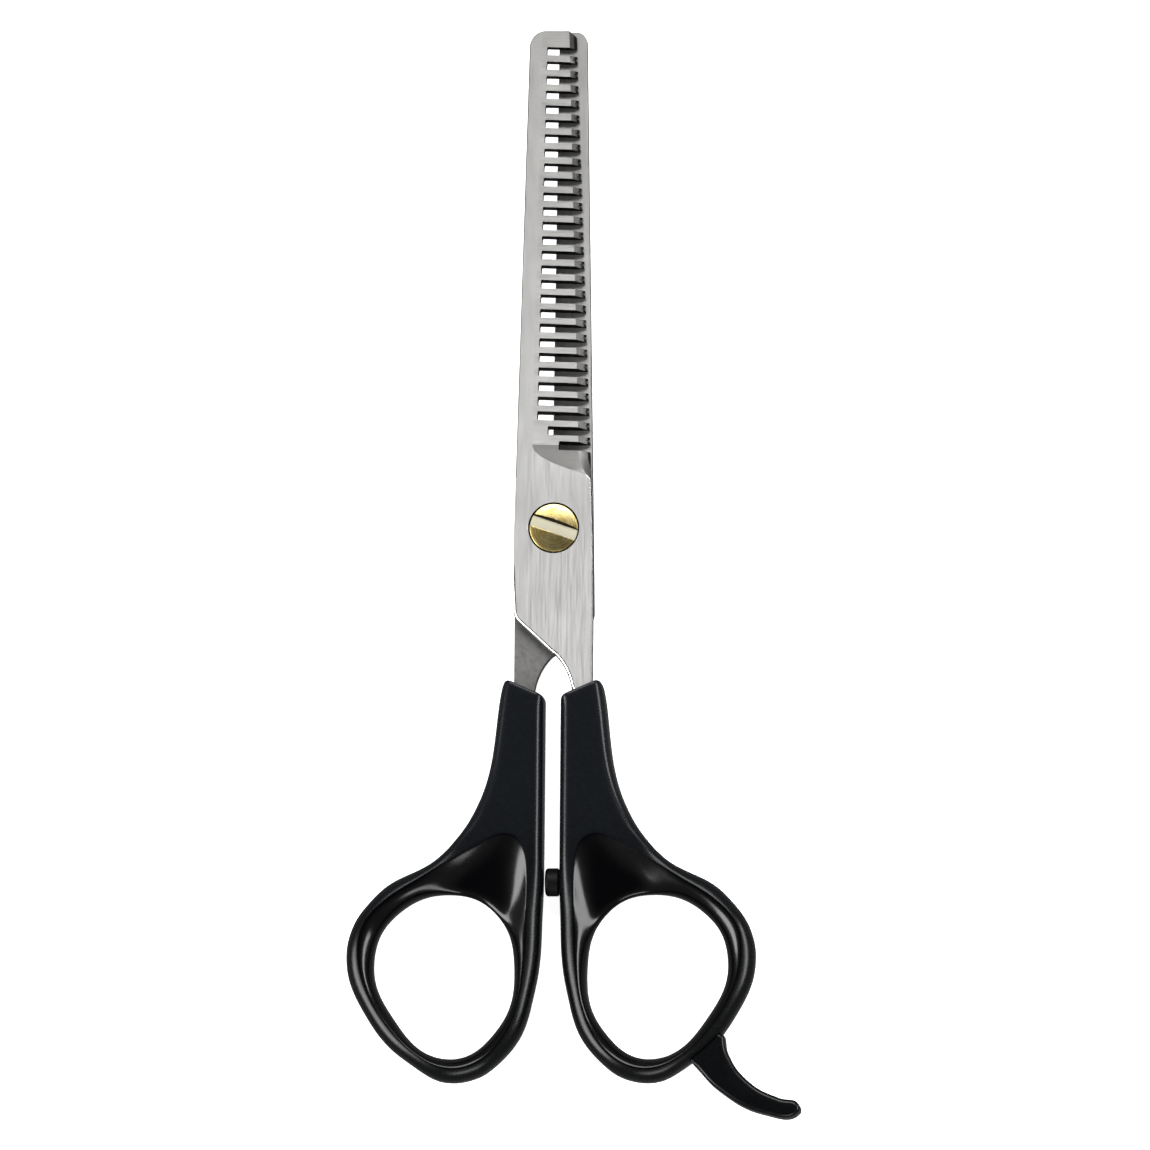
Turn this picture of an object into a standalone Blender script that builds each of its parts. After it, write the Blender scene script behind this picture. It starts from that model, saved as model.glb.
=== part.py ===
"""Thinning shears, 165 mm from blade tips to finger loops.

A comb blade closes over a straight blade on a slotted brass pivot screw. Each blade ends in a tang
inside a moulded plastic handle. The finger handle also carries the bumper, which stops the closing
handles, and a plug-in rest for the little finger.

Frame: metres, +Z up through the screw head, +Y towards the blade tips, +X towards the finger handle.
The shears lie closed, and the origin is on the pivot axis in the back face of the straight blade.
"""

import math

import bmesh
import bpy
from mathutils import Matrix, Vector

MM = 0.001

# Blades, closed. Both have a ride plate round the pivot, a blade above it and a tang below it.
TIP_Y = 78.7 * MM  # pivot axis to the blade tips
PLATE_HALF_WIDTH = 6.2 * MM
SHOULDER_Y = -13.0 * MM  # where the straight sides of the ride plate end
BLADE_THICKNESS = 2.0 * MM
TIP_THINNING = 0.7 * MM  # how much thinner the blades are at the tips
BLADE_GAP = 0.3 * MM  # between the two inner faces
THINNING_START_Y = 8.0 * MM

# Comb blade: its spine is on the left and its teeth point right.
COMB_SPINE_TIP_X = -4.5 * MM
TOOTH_LINE_TIP_X = 2.75 * MM  # x of the tooth ends, at the blade tip
SLOT_COUNT = 28
SLOT_PITCH = 2.314 * MM
SLOT_WIDTH = 1.2 * MM
SLOT_CORNER = 0.2 * MM
SLOT_LEAN = math.tan(math.radians(2.0))  # the slots drop towards the handles on their way out
FIRST_SLOT_Y = 75.4 * MM  # on the blade's middle line
FIRST_ROOT_X = -1.78 * MM
ROOT_STEP_X = -0.039 * MM  # each slot is cut this much deeper than the one above it
HEEL_ROOT_X = (-1.1 * MM, 0.65 * MM)  # the last two slots, where the cutter lifts out
NOTCH_DEPTH = 0.55 * MM
NOTCH_WIDTH = 0.5 * MM

# Straight blade: its spine is on the right and its cutting edge on the left, behind the slots.
STRAIGHT_SPINE_TIP_X = 4.4 * MM
EDGE_TIP_X = 0.05 * MM
EDGE_HEEL_X = -0.4 * MM
EDGE_HEEL_Y = 14.0 * MM
HEEL_RADIUS = 5.6 * MM  # from the ride plate into the cutting edge

# Ground faces, shared by both blades.
RELIEF_TILT = math.radians(3.0)
WHEEL_RADIUS = 30.0 * MM  # the grinding wheel, which leaves a curved run-out at the heel
RELIEF_END_Y = 14.0 * MM
BEVEL_ANGLE = math.radians(42.0)
BEVEL_END_Y = 12.5 * MM
EDGE_LAND = 0.25 * MM  # thickness left at the cutting edge
STRAIGHT_RELIEF_WIDTH = 3.6 * MM
COMB_RELIEF_MARGIN = 0.7 * MM  # how far the relief reaches past the roots of the slots

# Tangs, inside the handles.
TANG_INNER_X = 3.2 * MM
TANG_END_Y = -44.0 * MM
TANG_CORNER = 1.0 * MM
TANG_KEY_RADIUS = 0.9 * MM  # hole that the moulded plastic runs through
TANG_KEY_AT = (4.7 * MM, -37.0 * MM)
TANG_FIT = 0.15 * MM

# Pivot.
SCREW_HEAD_RADIUS = 3.75 * MM
SCREW_SHOULDER_RADIUS = 2.5 * MM
SCREW_THREAD_RADIUS = 2.0 * MM
SCREW_SLOT_WIDTH = 1.7 * MM
SCREW_SLOT_DEPTH = 0.75 * MM
SCREW_SLOT_ANGLE = math.radians(-19.0)
SCREW_DOME = 0.4 * MM
HEAD_RISE = 0.15 * MM  # the head's rim above the face of the comb blade
RECESS_DEPTH = 1.0 * MM
RECESS_CLEARANCE = 0.25 * MM
PIVOT_CLEARANCE = 0.12 * MM
WASHER_THICKNESS = 0.3 * MM
WASHER_CLEARANCE = 0.1 * MM

# Handles. The finger handle is given, on +X, and the thumb handle is its mirror image.
HANDLE_HALF_THICKNESS = 3.6 * MM
HANDLE_EDGE_RADIUS = 1.4 * MM
HANDLE_INNER_X = 1.25 * MM
SCOOP_CENTRE = (13.2 * MM, -55.0 * MM)
SCOOP_RADII = (10.5 * MM, 4.6 * MM, 3.4 * MM)
SCOOP_LIFT = 1.3 * MM  # height of the scoop's centre above the handle's face
SCOOP_TURN = math.radians(-30.0)

# Bumper.
BUMPER_Y = -55.4 * MM
BUMPER_RADIUS = 2.2 * MM
BUMPER_REACH = 2.2 * MM  # out of the finger handle
BUMPER_NOSE = 0.5 * MM
BUMPER_STEM_RADIUS = 1.1 * MM
BUMPER_STEM_LENGTH = 2.2 * MM

# Finger rest.
REST_HALF_THICKNESS = 2.3 * MM
REST_EDGE_RADIUS = 0.9 * MM
REST_FOOT = (24.75 * MM, -81.85 * MM)  # middle of its foot, on the outside of the finger loop
REST_DIRECTION = math.radians(-45.0)
PEG_RADIUS = 1.1 * MM
PEG_LENGTH = 2.0 * MM
PEG_ROOT = 2.0 * MM  # how far the peg runs into the rest
SMALL_FIT = 0.12 * MM

REACH = 12.0 * MM  # how far cutters run past what they cut

# Heights of the faces.
STRAIGHT_BACK_Z = 0.0
STRAIGHT_FRONT_Z = BLADE_THICKNESS
COMB_BACK_Z = STRAIGHT_FRONT_Z + BLADE_GAP
COMB_FRONT_Z = COMB_BACK_Z + BLADE_THICKNESS
MIDDLE_Z = (STRAIGHT_BACK_Z + COMB_FRONT_Z) / 2


# ---------------------------------------------------------------- materials


def make_material(name, colour, roughness, metallic):
    material = bpy.data.materials.new(name)
    material.use_nodes = True
    shader = material.node_tree.nodes["Principled BSDF"]
    shader.inputs["Base Color"].default_value = (*colour, 1.0)
    shader.inputs["Roughness"].default_value = roughness
    shader.inputs["Metallic"].default_value = metallic
    return material


# ---------------------------------------------------------------- shape tools


def link_mesh(name, bm):
    """Turns a bmesh into an object in the scene, with its faces pointing out."""
    bmesh.ops.recalc_face_normals(bm, faces=bm.faces)
    mesh = bpy.data.meshes.new(name)
    bm.to_mesh(mesh)
    bm.free()
    obj = bpy.data.objects.new(name, mesh)
    bpy.context.scene.collection.objects.link(obj)
    return obj


def prism(name, outline, low, high):
    """A closed outline in XY, filled and extruded from z = low to z = high."""
    bm = bmesh.new()
    face = bm.faces.new([bm.verts.new((x, y, low)) for x, y in outline])
    made = bmesh.ops.extrude_face_region(bm, geom=[face])["geom"]
    lifted = [v for v in made if isinstance(v, bmesh.types.BMVert)]
    bmesh.ops.translate(bm, vec=(0, 0, high - low), verts=lifted)
    return link_mesh(name, bm)


def loft(name, sections):
    """Equal rings of points, joined one to the next and closed at both ends."""
    bm = bmesh.new()
    rings = [[bm.verts.new(point) for point in section] for section in sections]
    for near, far in zip(rings, rings[1:]):
        for i in range(len(near)):
            j = (i + 1) % len(near)
            bm.faces.new((near[i], near[j], far[j], far[i]))
    bm.faces.new(rings[0])
    bm.faces.new(rings[-1])
    return link_mesh(name, bm)


def turned(name, profile, steps=48):
    """A profile of (radius, height) points, spun about Z. It starts and ends on the axis or closes on itself."""
    bm = bmesh.new()
    points = [bm.verts.new((radius, 0, height)) for radius, height in profile]
    edges = [bm.edges.new(pair) for pair in zip(points, points[1:])]
    if profile[0][0] > 0:
        edges.append(bm.edges.new((points[-1], points[0])))
    bmesh.ops.spin(bm, geom=points + edges, axis=(0, 0, 1), cent=(0, 0, 0), steps=steps, angle=math.tau)
    bmesh.ops.remove_doubles(bm, verts=bm.verts, dist=0.001 * MM)
    return link_mesh(name, bm)


def moulded(name, outlines, half_thickness, edge_radius, grow=0.0):
    """A flat moulding about MIDDLE_Z. Each outline is a closed list of (x, y, corner), and a second one is a hole.

    Points are joined by a smooth curve, apart from those with corner true, where it breaks. grow widens it.
    """
    curve = bpy.data.curves.new(name, "CURVE")
    curve.dimensions = "2D"
    curve.fill_mode = "BOTH"
    curve.resolution_u = 4
    curve.extrude = half_thickness - edge_radius
    curve.bevel_depth = edge_radius
    curve.bevel_resolution = 2
    curve.offset = grow - edge_radius
    for outline in outlines:
        spline = curve.splines.new("BEZIER")
        spline.use_cyclic_u = True
        spline.bezier_points.add(len(outline) - 1)
        for point, (x, y, corner) in zip(spline.bezier_points, outline):
            point.co = (x, y, 0)
            point.handle_left_type = point.handle_right_type = "VECTOR" if corner else "AUTO"
    drawn = bpy.data.objects.new(name, curve)
    bpy.context.scene.collection.objects.link(drawn)
    bpy.context.view_layer.update()
    bm = bmesh.new()
    bm.from_mesh(bpy.data.meshes.new_from_object(drawn.evaluated_get(bpy.context.evaluated_depsgraph_get())))
    bpy.data.objects.remove(drawn)
    bmesh.ops.remove_doubles(bm, verts=bm.verts, dist=0.001 * MM)
    bmesh.ops.dissolve_degenerate(bm, edges=bm.edges, dist=0.001 * MM)
    bmesh.ops.translate(bm, vec=(0, 0, MIDDLE_Z), verts=bm.verts)
    return link_mesh(name, bm)


def boolean(target, tool, operation="DIFFERENCE"):
    """Adds a Boolean to target and hides its tool."""
    modifier = target.modifiers.new(tool.name, "BOOLEAN")
    modifier.operation = operation
    modifier.object = tool
    modifier.solver = "EXACT"
    tool.hide_render = True
    tool.display_type = "WIRE"


def arc(centre, radius, start, end, steps):
    """Points on a circle, from one angle to another, in degrees."""
    angles = [math.radians(start + (end - start) * i / steps) for i in range(steps + 1)]
    return [(centre[0] + radius * math.cos(a), centre[1] + radius * math.sin(a)) for a in angles]


def mirrored(outline):
    return [(-point[0], *point[1:]) for point in reversed(outline)]


def finish(obj, material, body):
    obj.data.materials.clear()
    obj.data.materials.append(material)
    obj.data.shade_smooth()
    obj.data.set_sharp_from_angle(angle=math.radians(30))
    obj.parent = body


# ---------------------------------------------------------------- blades


def tooth_line_x(y):
    """x of the line on which all the teeth end. It runs on down the ride plate to its full width."""
    share = (TIP_Y - y) / (TIP_Y - SHOULDER_Y)
    return TOOTH_LINE_TIP_X + share * (PLATE_HALF_WIDTH - TOOTH_LINE_TIP_X)


def slot_root_x(index):
    if index >= SLOT_COUNT - len(HEEL_ROOT_X):
        return HEEL_ROOT_X[index - SLOT_COUNT]
    return FIRST_ROOT_X + index * ROOT_STEP_X


def row_y(row, x):
    """y of the centre line of a slot at x. Half a row further on is the centre line of a tooth."""
    return FIRST_SLOT_Y - row * SLOT_PITCH - x * SLOT_LEAN


def row_end(row, offset=0.0):
    """Where a line beside the centre line of a row meets the tooth line."""
    y = row_y(row, tooth_line_x(row_y(row, 0.0))) + offset
    return (tooth_line_x(y), y)


def slot_outline(index):
    """One slot, from its lower lip on the tooth line, round its root, to its upper lip."""
    root = slot_root_x(index)
    half = SLOT_WIDTH / 2
    inner = half - SLOT_CORNER
    around = [(root + SLOT_CORNER, -half), (root, -inner), (root, inner), (root + SLOT_CORNER, half)]
    return [
        row_end(index, -half),
        *[(x, row_y(index, x) + offset) for x, offset in around],
        row_end(index, half),
    ]


def lower_outline():
    """The shoulder, arch and tang of the comb blade, from the left side of its ride plate to the right."""
    return [
        (-PLATE_HALF_WIDTH, SHOULDER_Y),
        *arc((-3.9 * MM, -13.0 * MM), 2.3 * MM, 188, 229, 4),
        (0.0, -19.7 * MM),
        *arc((-6.4 * MM, -26.6 * MM), 9.5 * MM, 45, 8, 5),
        (TANG_INNER_X, -27.0 * MM),
        *arc((TANG_INNER_X + TANG_CORNER, TANG_END_Y + TANG_CORNER), TANG_CORNER, 180, 270, 3),
        *arc((PLATE_HALF_WIDTH - TANG_CORNER, TANG_END_Y + TANG_CORNER), TANG_CORNER, 270, 360, 3),
        (PLATE_HALF_WIDTH, SHOULDER_Y),
    ]


def comb_outline():
    teeth = [point for index in reversed(range(SLOT_COUNT)) for point in slot_outline(index)]
    tip = [
        (tooth_line_x(TIP_Y - 0.9 * MM), TIP_Y - 0.9 * MM),
        (TOOTH_LINE_TIP_X - 1.1 * MM, TIP_Y),
        *arc((COMB_SPINE_TIP_X + 2.6 * MM, TIP_Y - 2.6 * MM), 2.6 * MM, 90, 180, 6),
    ]
    return lower_outline() + teeth + tip + [(-PLATE_HALF_WIDTH, 0.0)]


def straight_outline():
    """The straight blade is drawn as the comb blade is, spine on the left, and mirrored at the end."""
    edge = [
        (PLATE_HALF_WIDTH, 3.0 * MM),
        *arc((HEEL_RADIUS - EDGE_HEEL_X, EDGE_HEEL_Y), HEEL_RADIUS, 270, 180, 5),
        (-EDGE_TIP_X, TIP_Y - 0.6 * MM),
        (-EDGE_TIP_X - 0.8 * MM, TIP_Y),
    ]
    spine = [
        *arc((-STRAIGHT_SPINE_TIP_X + 1.7 * MM, TIP_Y - 1.7 * MM), 1.7 * MM, 90, 180, 5),
        (-PLATE_HALF_WIDTH, 0.0),
    ]
    return mirrored(lower_outline() + edge + spine)


def run_out(y, end):
    """How far the grinding wheel lifts off past the end of its pass."""
    past = max(0.0, end - y)
    return WHEEL_RADIUS - math.sqrt(WHEEL_RADIUS**2 - past**2)


def pass_stations(end):
    """Places along a blade for the sections of a ground face: the run-out, then the straight pass."""
    lift_off = [end - 7.0 * MM + i * 1.0 * MM for i in range(7)]
    return [*lift_off, end, TIP_Y + REACH]


def thinned(y):
    """How far the outer face of a blade lies inside its full thickness."""
    return max(0.0, y - THINNING_START_Y) / (TIP_Y - THINNING_START_Y) * TIP_THINNING


def grind(name, hinge_x, angle, surface, side, end, outward):
    """A cutter for a ground face that slopes down from hinge_x(y) towards side, for a face that looks outward.

    surface(y) is the height of that face at the hinge, and outward is +1 for up and -1 for down.
    """
    sections = []
    for y in pass_stations(end):
        rise = outward * run_out(y, end)
        near = hinge_x(y) - side * 3.0 * MM
        far = hinge_x(y) + side * REACH
        floor_near = surface(y) + outward * 3.0 * MM * math.tan(angle) + rise
        floor_far = surface(y) - outward * REACH * math.tan(angle) + rise
        roof = surface(y) + outward * REACH
        sections.append([(near, y, floor_near), (far, y, floor_far), (far, y, roof), (near, y, roof)])
    return loft(name, sections)


def thinning_cutter(name, surface, outward):
    """Takes the outer face down from full thickness at the ride plate to the thin tip."""
    sections = []
    for y in (THINNING_START_Y, TIP_Y + REACH):
        floor = surface - outward * thinned(y)
        roof = surface + outward * REACH
        sections.append([(-REACH, y, floor), (REACH, y, floor), (REACH, y, roof), (-REACH, y, roof)])
    return loft(name, sections)


def notch_cutter():
    """A small V in the end of every tooth, which keeps hair from sliding off it."""
    bm = bmesh.new()
    for index in range(SLOT_COUNT - 1):
        x, y = row_end(index + 0.5)
        outline = [
            (x - NOTCH_DEPTH, y),
            (x + NOTCH_DEPTH, y - NOTCH_WIDTH),
            (x + NOTCH_DEPTH, y + NOTCH_WIDTH),
        ]
        face = bm.faces.new([bm.verts.new((*point, COMB_BACK_Z - 1.0 * MM)) for point in outline])
        made = bmesh.ops.extrude_face_region(bm, geom=[face])["geom"]
        lifted = [v for v in made if isinstance(v, bmesh.types.BMVert)]
        bmesh.ops.translate(bm, vec=(0, 0, BLADE_THICKNESS + 2.0 * MM), verts=lifted)
    return link_mesh("notch_cutter", bm)


def tang_key_cutter(name, side):
    low, high = STRAIGHT_BACK_Z - REACH, COMB_FRONT_Z + REACH
    key = turned(name, [(0, low), (TANG_KEY_RADIUS, low), (TANG_KEY_RADIUS, high), (0, high)], 16)
    key.location = (side * TANG_KEY_AT[0], TANG_KEY_AT[1], 0)
    return key


def build_comb_blade():
    blade = prism("comb_blade", comb_outline(), COMB_BACK_Z, COMB_FRONT_Z)

    def face(y):
        return COMB_FRONT_Z - thinned(y)

    def relief_hinge(y):
        return FIRST_ROOT_X - COMB_RELIEF_MARGIN + (FIRST_SLOT_Y - y) / SLOT_PITCH * ROOT_STEP_X

    boolean(blade, thinning_cutter("comb_thinning_cutter", COMB_FRONT_Z, 1))
    boolean(blade, grind("comb_relief_cutter", relief_hinge, RELIEF_TILT, face, 1, RELIEF_END_Y, 1))
    bevel = grind(
        "tooth_bevel_cutter", tooth_line_x, BEVEL_ANGLE, lambda y: COMB_BACK_Z + EDGE_LAND, 1, BEVEL_END_Y, 1
    )
    boolean(blade, bevel)
    boolean(blade, notch_cutter())
    recess_floor = COMB_FRONT_Z - RECESS_DEPTH
    recess_radius = SCREW_HEAD_RADIUS + RECESS_CLEARANCE
    hole_radius = SCREW_SHOULDER_RADIUS + PIVOT_CLEARANCE
    hole = [
        (0, COMB_BACK_Z - REACH),
        (hole_radius, COMB_BACK_Z - REACH),
        (hole_radius, recess_floor),
        (recess_radius, recess_floor),
        (recess_radius, COMB_FRONT_Z + REACH),
        (0, COMB_FRONT_Z + REACH),
    ]
    boolean(blade, turned("comb_hole_cutter", hole))
    boolean(blade, tang_key_cutter("comb_tang_key_cutter", 1))
    return blade


def build_straight_blade():
    blade = prism("straight_blade", straight_outline(), STRAIGHT_BACK_Z, STRAIGHT_FRONT_Z)

    def face(y):
        return STRAIGHT_BACK_Z + thinned(y)

    def edge_x(y):
        share = (y - EDGE_HEEL_Y) / (TIP_Y - EDGE_HEEL_Y)
        return EDGE_HEEL_X + share * (EDGE_TIP_X - EDGE_HEEL_X)

    def relief_hinge(y):
        return edge_x(y) + STRAIGHT_RELIEF_WIDTH

    boolean(blade, thinning_cutter("straight_thinning_cutter", STRAIGHT_BACK_Z, -1))
    boolean(blade, grind("straight_relief_cutter", relief_hinge, RELIEF_TILT, face, -1, RELIEF_END_Y, -1))
    bevel = grind(
        "edge_bevel_cutter", edge_x, BEVEL_ANGLE, lambda y: STRAIGHT_FRONT_Z - EDGE_LAND, -1, BEVEL_END_Y, -1
    )
    boolean(blade, bevel)
    hole_radius = SCREW_THREAD_RADIUS + PIVOT_CLEARANCE
    low, high = STRAIGHT_BACK_Z - REACH, STRAIGHT_FRONT_Z + REACH
    boolean(blade, turned("tapped_hole_cutter", [(0, low), (hole_radius, low), (hole_radius, high), (0, high)]))
    boolean(blade, tang_key_cutter("straight_tang_key_cutter", -1))
    return blade


# ---------------------------------------------------------------- pivot


def build_pivot_screw():
    under_head = COMB_FRONT_Z - RECESS_DEPTH + WASHER_THICKNESS + 2 * WASHER_CLEARANCE
    rim = COMB_FRONT_Z + HEAD_RISE
    thread_top = STRAIGHT_FRONT_Z + BLADE_GAP / 2
    dome_radius = (SCREW_HEAD_RADIUS**2 + SCREW_DOME**2) / (2 * SCREW_DOME)
    dome = []
    for step in range(5, -1, -1):
        radius = SCREW_HEAD_RADIUS * step / 5
        dome.append((radius, rim + SCREW_DOME - dome_radius + math.sqrt(dome_radius**2 - radius**2)))
    profile = [
        (0, STRAIGHT_BACK_Z),
        (SCREW_THREAD_RADIUS, STRAIGHT_BACK_Z),
        (SCREW_THREAD_RADIUS, thread_top),
        (SCREW_SHOULDER_RADIUS, thread_top),
        (SCREW_SHOULDER_RADIUS, under_head),
        (SCREW_HEAD_RADIUS, under_head),
        *dome,
    ]
    screw = turned("pivot_screw", profile)
    half = SCREW_SLOT_WIDTH / 2
    floor = rim + SCREW_DOME - SCREW_SLOT_DEPTH
    corners = [(-REACH, -half), (REACH, -half), (REACH, half), (-REACH, half)]
    slot = prism("screw_slot_cutter", corners, floor, floor + REACH)
    slot.rotation_euler.z = SCREW_SLOT_ANGLE
    boolean(screw, slot)
    return screw


def build_friction_washer():
    low = COMB_FRONT_Z - RECESS_DEPTH + WASHER_CLEARANCE
    high = low + WASHER_THICKNESS
    inner = SCREW_SHOULDER_RADIUS + PIVOT_CLEARANCE
    outer = SCREW_HEAD_RADIUS + RECESS_CLEARANCE - SMALL_FIT
    return turned("friction_washer", [(inner, low), (outer, low), (outer, high), (inner, high)])


# ---------------------------------------------------------------- handles


def in_mm(points):
    """(x, y) or (x, y, corner) in millimetres, as (x, y, corner) in metres."""
    return [(point[0] * MM, point[1] * MM, len(point) == 3) for point in points]


def handle_outline():
    """From the collar at the top, down the outside, round the loop and back up the inside."""
    return in_mm(
        [
            (1.25, -26.4, True),
            (7.3, -23.7, True),
            (8.05, -25.6),
            (8.75, -31.5),
            (10.95, -42.0),
            (17.0, -51.1),
            (27.2, -57.4),
            (31.95, -66.0),
            (28.35, -77.1),
            (21.6, -84.0),
            (14.8, -86.8),
            (6.2, -81.8),
            (2.5, -72.4),
            (1.35, -59.0),
            (1.25, -50.0),
        ]
    )


def hole_outline():
    return in_mm(
        [
            (15.6, -57.4),
            (24.1, -60.5),
            (27.55, -67.4),
            (25.2, -75.6),
            (16.0, -83.1),
            (8.1, -78.3),
            (5.7, -69.2),
            (8.6, -60.5),
        ]
    )


def scoop_cutter(name, side, face):
    """The hollow in which a finger lies above its hole. face is +1 for the front and -1 for the back."""
    scoop = turned(name, [(math.sin(a), -math.cos(a)) for a in (math.pi * i / 12 for i in range(13))], 24)
    height = MIDDLE_Z + face * (HANDLE_HALF_THICKNESS + SCOOP_LIFT)
    place = Matrix.Translation((side * SCOOP_CENTRE[0], SCOOP_CENTRE[1], height))
    turn = Matrix.Rotation(side * SCOOP_TURN, 4, "Z")
    scoop.data.transform(place @ turn @ Matrix.Diagonal((*SCOOP_RADII, 1.0)))
    return scoop


def tang_pocket(name, side, low):
    """The room that the tang takes in the handle, a little larger than it, with the plastic key left standing."""
    outline = [
        (TANG_INNER_X - TANG_FIT, TANG_END_Y - TANG_FIT),
        (PLATE_HALF_WIDTH + TANG_FIT, TANG_END_Y - TANG_FIT),
        (PLATE_HALF_WIDTH + TANG_FIT, -20.0 * MM),
        (0.5 * MM, -20.0 * MM),
        (2.6 * MM, -25.6 * MM),
        (TANG_INNER_X - TANG_FIT, -27.0 * MM),
    ]
    if side < 0:
        outline = mirrored(outline)
    pocket = prism(name, outline, low - TANG_FIT, low + BLADE_THICKNESS + TANG_FIT)
    key_radius = TANG_KEY_RADIUS - TANG_FIT
    key_low, key_high = low - REACH, low + REACH
    profile = [(0, key_low), (key_radius, key_low), (key_radius, key_high), (0, key_high)]
    key = turned(name + "_key", profile, 16)
    key.location = (side * TANG_KEY_AT[0], TANG_KEY_AT[1], 0)
    boolean(pocket, key)
    return pocket


def along_x(obj, start, y):
    """Lays a solid turned about Z along X, with its z = 0 end at start."""
    obj.data.transform(Matrix.Translation((start, y, MIDDLE_Z)) @ Matrix.Rotation(math.pi / 2, 4, "Y"))
    return obj


def build_handle(name, side):
    """side is +1 for the finger handle, with the comb blade's tang, and -1 for the thumb handle."""
    outlines = [handle_outline(), hole_outline()]
    if side < 0:
        outlines = [mirrored(outline) for outline in outlines]
    handle = moulded(name, outlines, HANDLE_HALF_THICKNESS, HANDLE_EDGE_RADIUS)
    boolean(handle, scoop_cutter(name + "_front_scoop", side, 1))
    boolean(handle, scoop_cutter(name + "_back_scoop", side, -1))
    boolean(handle, tang_pocket(name + "_pocket", side, COMB_BACK_Z if side > 0 else STRAIGHT_BACK_Z))
    return handle


def cylinder_profile(radius, start, end):
    return [(0, start), (radius, start), (radius, end), (0, end)]


def build_finger_handle():
    handle = build_handle("finger_handle", 1)
    hole_end = BUMPER_STEM_LENGTH + HANDLE_INNER_X + SMALL_FIT
    hole = turned("bumper_hole", cylinder_profile(BUMPER_STEM_RADIUS + SMALL_FIT, -REACH, hole_end), 24)
    boolean(handle, along_x(hole, 0.0, BUMPER_Y))
    socket = turned("peg_socket", cylinder_profile(PEG_RADIUS + SMALL_FIT, -PEG_LENGTH - SMALL_FIT, REACH), 24)
    boolean(handle, at_rest_foot(socket))
    return handle


def build_bumper():
    """A round-nosed plug. Its stem sits in the finger handle and its nose meets the thumb handle."""
    profile = [
        (0, BUMPER_STEM_LENGTH),
        (BUMPER_STEM_RADIUS, BUMPER_STEM_LENGTH),
        (BUMPER_STEM_RADIUS, -SMALL_FIT),
        (BUMPER_RADIUS, -SMALL_FIT),
        *arc((BUMPER_RADIUS - BUMPER_NOSE, BUMPER_NOSE - BUMPER_REACH), BUMPER_NOSE, 0, -90, 3),
        (0, -BUMPER_REACH),
    ]
    return along_x(turned("bumper", profile, 24), HANDLE_INNER_X, BUMPER_Y)


def at_rest_foot(obj):
    """Lays a solid turned about Z along the finger rest, with z = 0 on the outside of the loop."""
    aim = Vector((math.cos(REST_DIRECTION), math.sin(REST_DIRECTION), 0.0))
    turn = aim.to_track_quat("Z", "Y").to_matrix().to_4x4()
    obj.data.transform(Matrix.Translation((*REST_FOOT, MIDDLE_Z)) @ turn)
    return obj


def build_finger_rest():
    """A curved horn with a peg in its foot. The foot is hollowed to sit round the loop."""
    outline = in_mm(
        [
            (20.6, -81.9, True),
            (24.6, -77.8, True),
            (27.2, -79.6, True),
            (27.7, -82.2),
            (31.4, -87.0),
            (35.9, -89.3),
            (38.8, -90.1),
            (38.9, -91.6),
            (33.3, -91.7),
            (26.3, -88.0),
            (22.4, -84.0, True),
        ]
    )
    rest = moulded("finger_rest", [outline], REST_HALF_THICKNESS, REST_EDGE_RADIUS)
    loop = moulded("rest_foot_cutter", [handle_outline()], HANDLE_HALF_THICKNESS, SMALL_FIT, SMALL_FIT)
    boolean(rest, loop)
    peg = turned("peg", cylinder_profile(PEG_RADIUS, -PEG_LENGTH, PEG_ROOT), 24)
    boolean(rest, at_rest_foot(peg), "UNION")
    return rest


# ---------------------------------------------------------------- assembly


def main():
    for obj in list(bpy.data.objects):
        bpy.data.objects.remove(obj)

    steel = make_material("brushed_stainless", (0.62, 0.62, 0.61), 0.32, 1.0)
    brass = make_material("polished_brass", (0.78, 0.62, 0.25), 0.22, 1.0)
    plastic = make_material("black_moulded_plastic", (0.012, 0.013, 0.016), 0.28, 0.0)
    rubber = make_material("black_rubber", (0.010, 0.010, 0.011), 0.60, 0.0)
    nylon = make_material("black_nylon", (0.015, 0.015, 0.015), 0.50, 0.0)

    finger_half = bpy.data.objects.new("finger_half", None)
    thumb_half = bpy.data.objects.new("thumb_half", None)
    screw_axis = bpy.data.objects.new("screw_axis", None)
    for empty in (finger_half, thumb_half, screw_axis):
        bpy.context.scene.collection.objects.link(empty)
    screw_axis.parent = thumb_half

    finish(build_comb_blade(), steel, finger_half)
    finish(build_finger_handle(), plastic, finger_half)
    finish(build_bumper(), rubber, finger_half)
    finish(build_finger_rest(), plastic, finger_half)
    finish(build_friction_washer(), nylon, finger_half)
    finish(build_straight_blade(), steel, thumb_half)
    finish(build_handle("thumb_handle", -1), plastic, thumb_half)
    finish(build_pivot_screw(), brass, screw_axis)


main()
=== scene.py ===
# %% [markdown]
# # Thinning shears
#
# This lesson dresses a finished mechanical model of hairdressers' thinning shears. The frame already knows
# how large every part is and how it moves. Here each part gets its fine shape, its edges and its finish.
# The shears lie closed. +Z runs up through the screw's head, +Y to the blade tips and +X to the finger
# handle.

# %% Load the frame
import math

import bmesh
import bpy
from mathutils import Matrix, Vector


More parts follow.
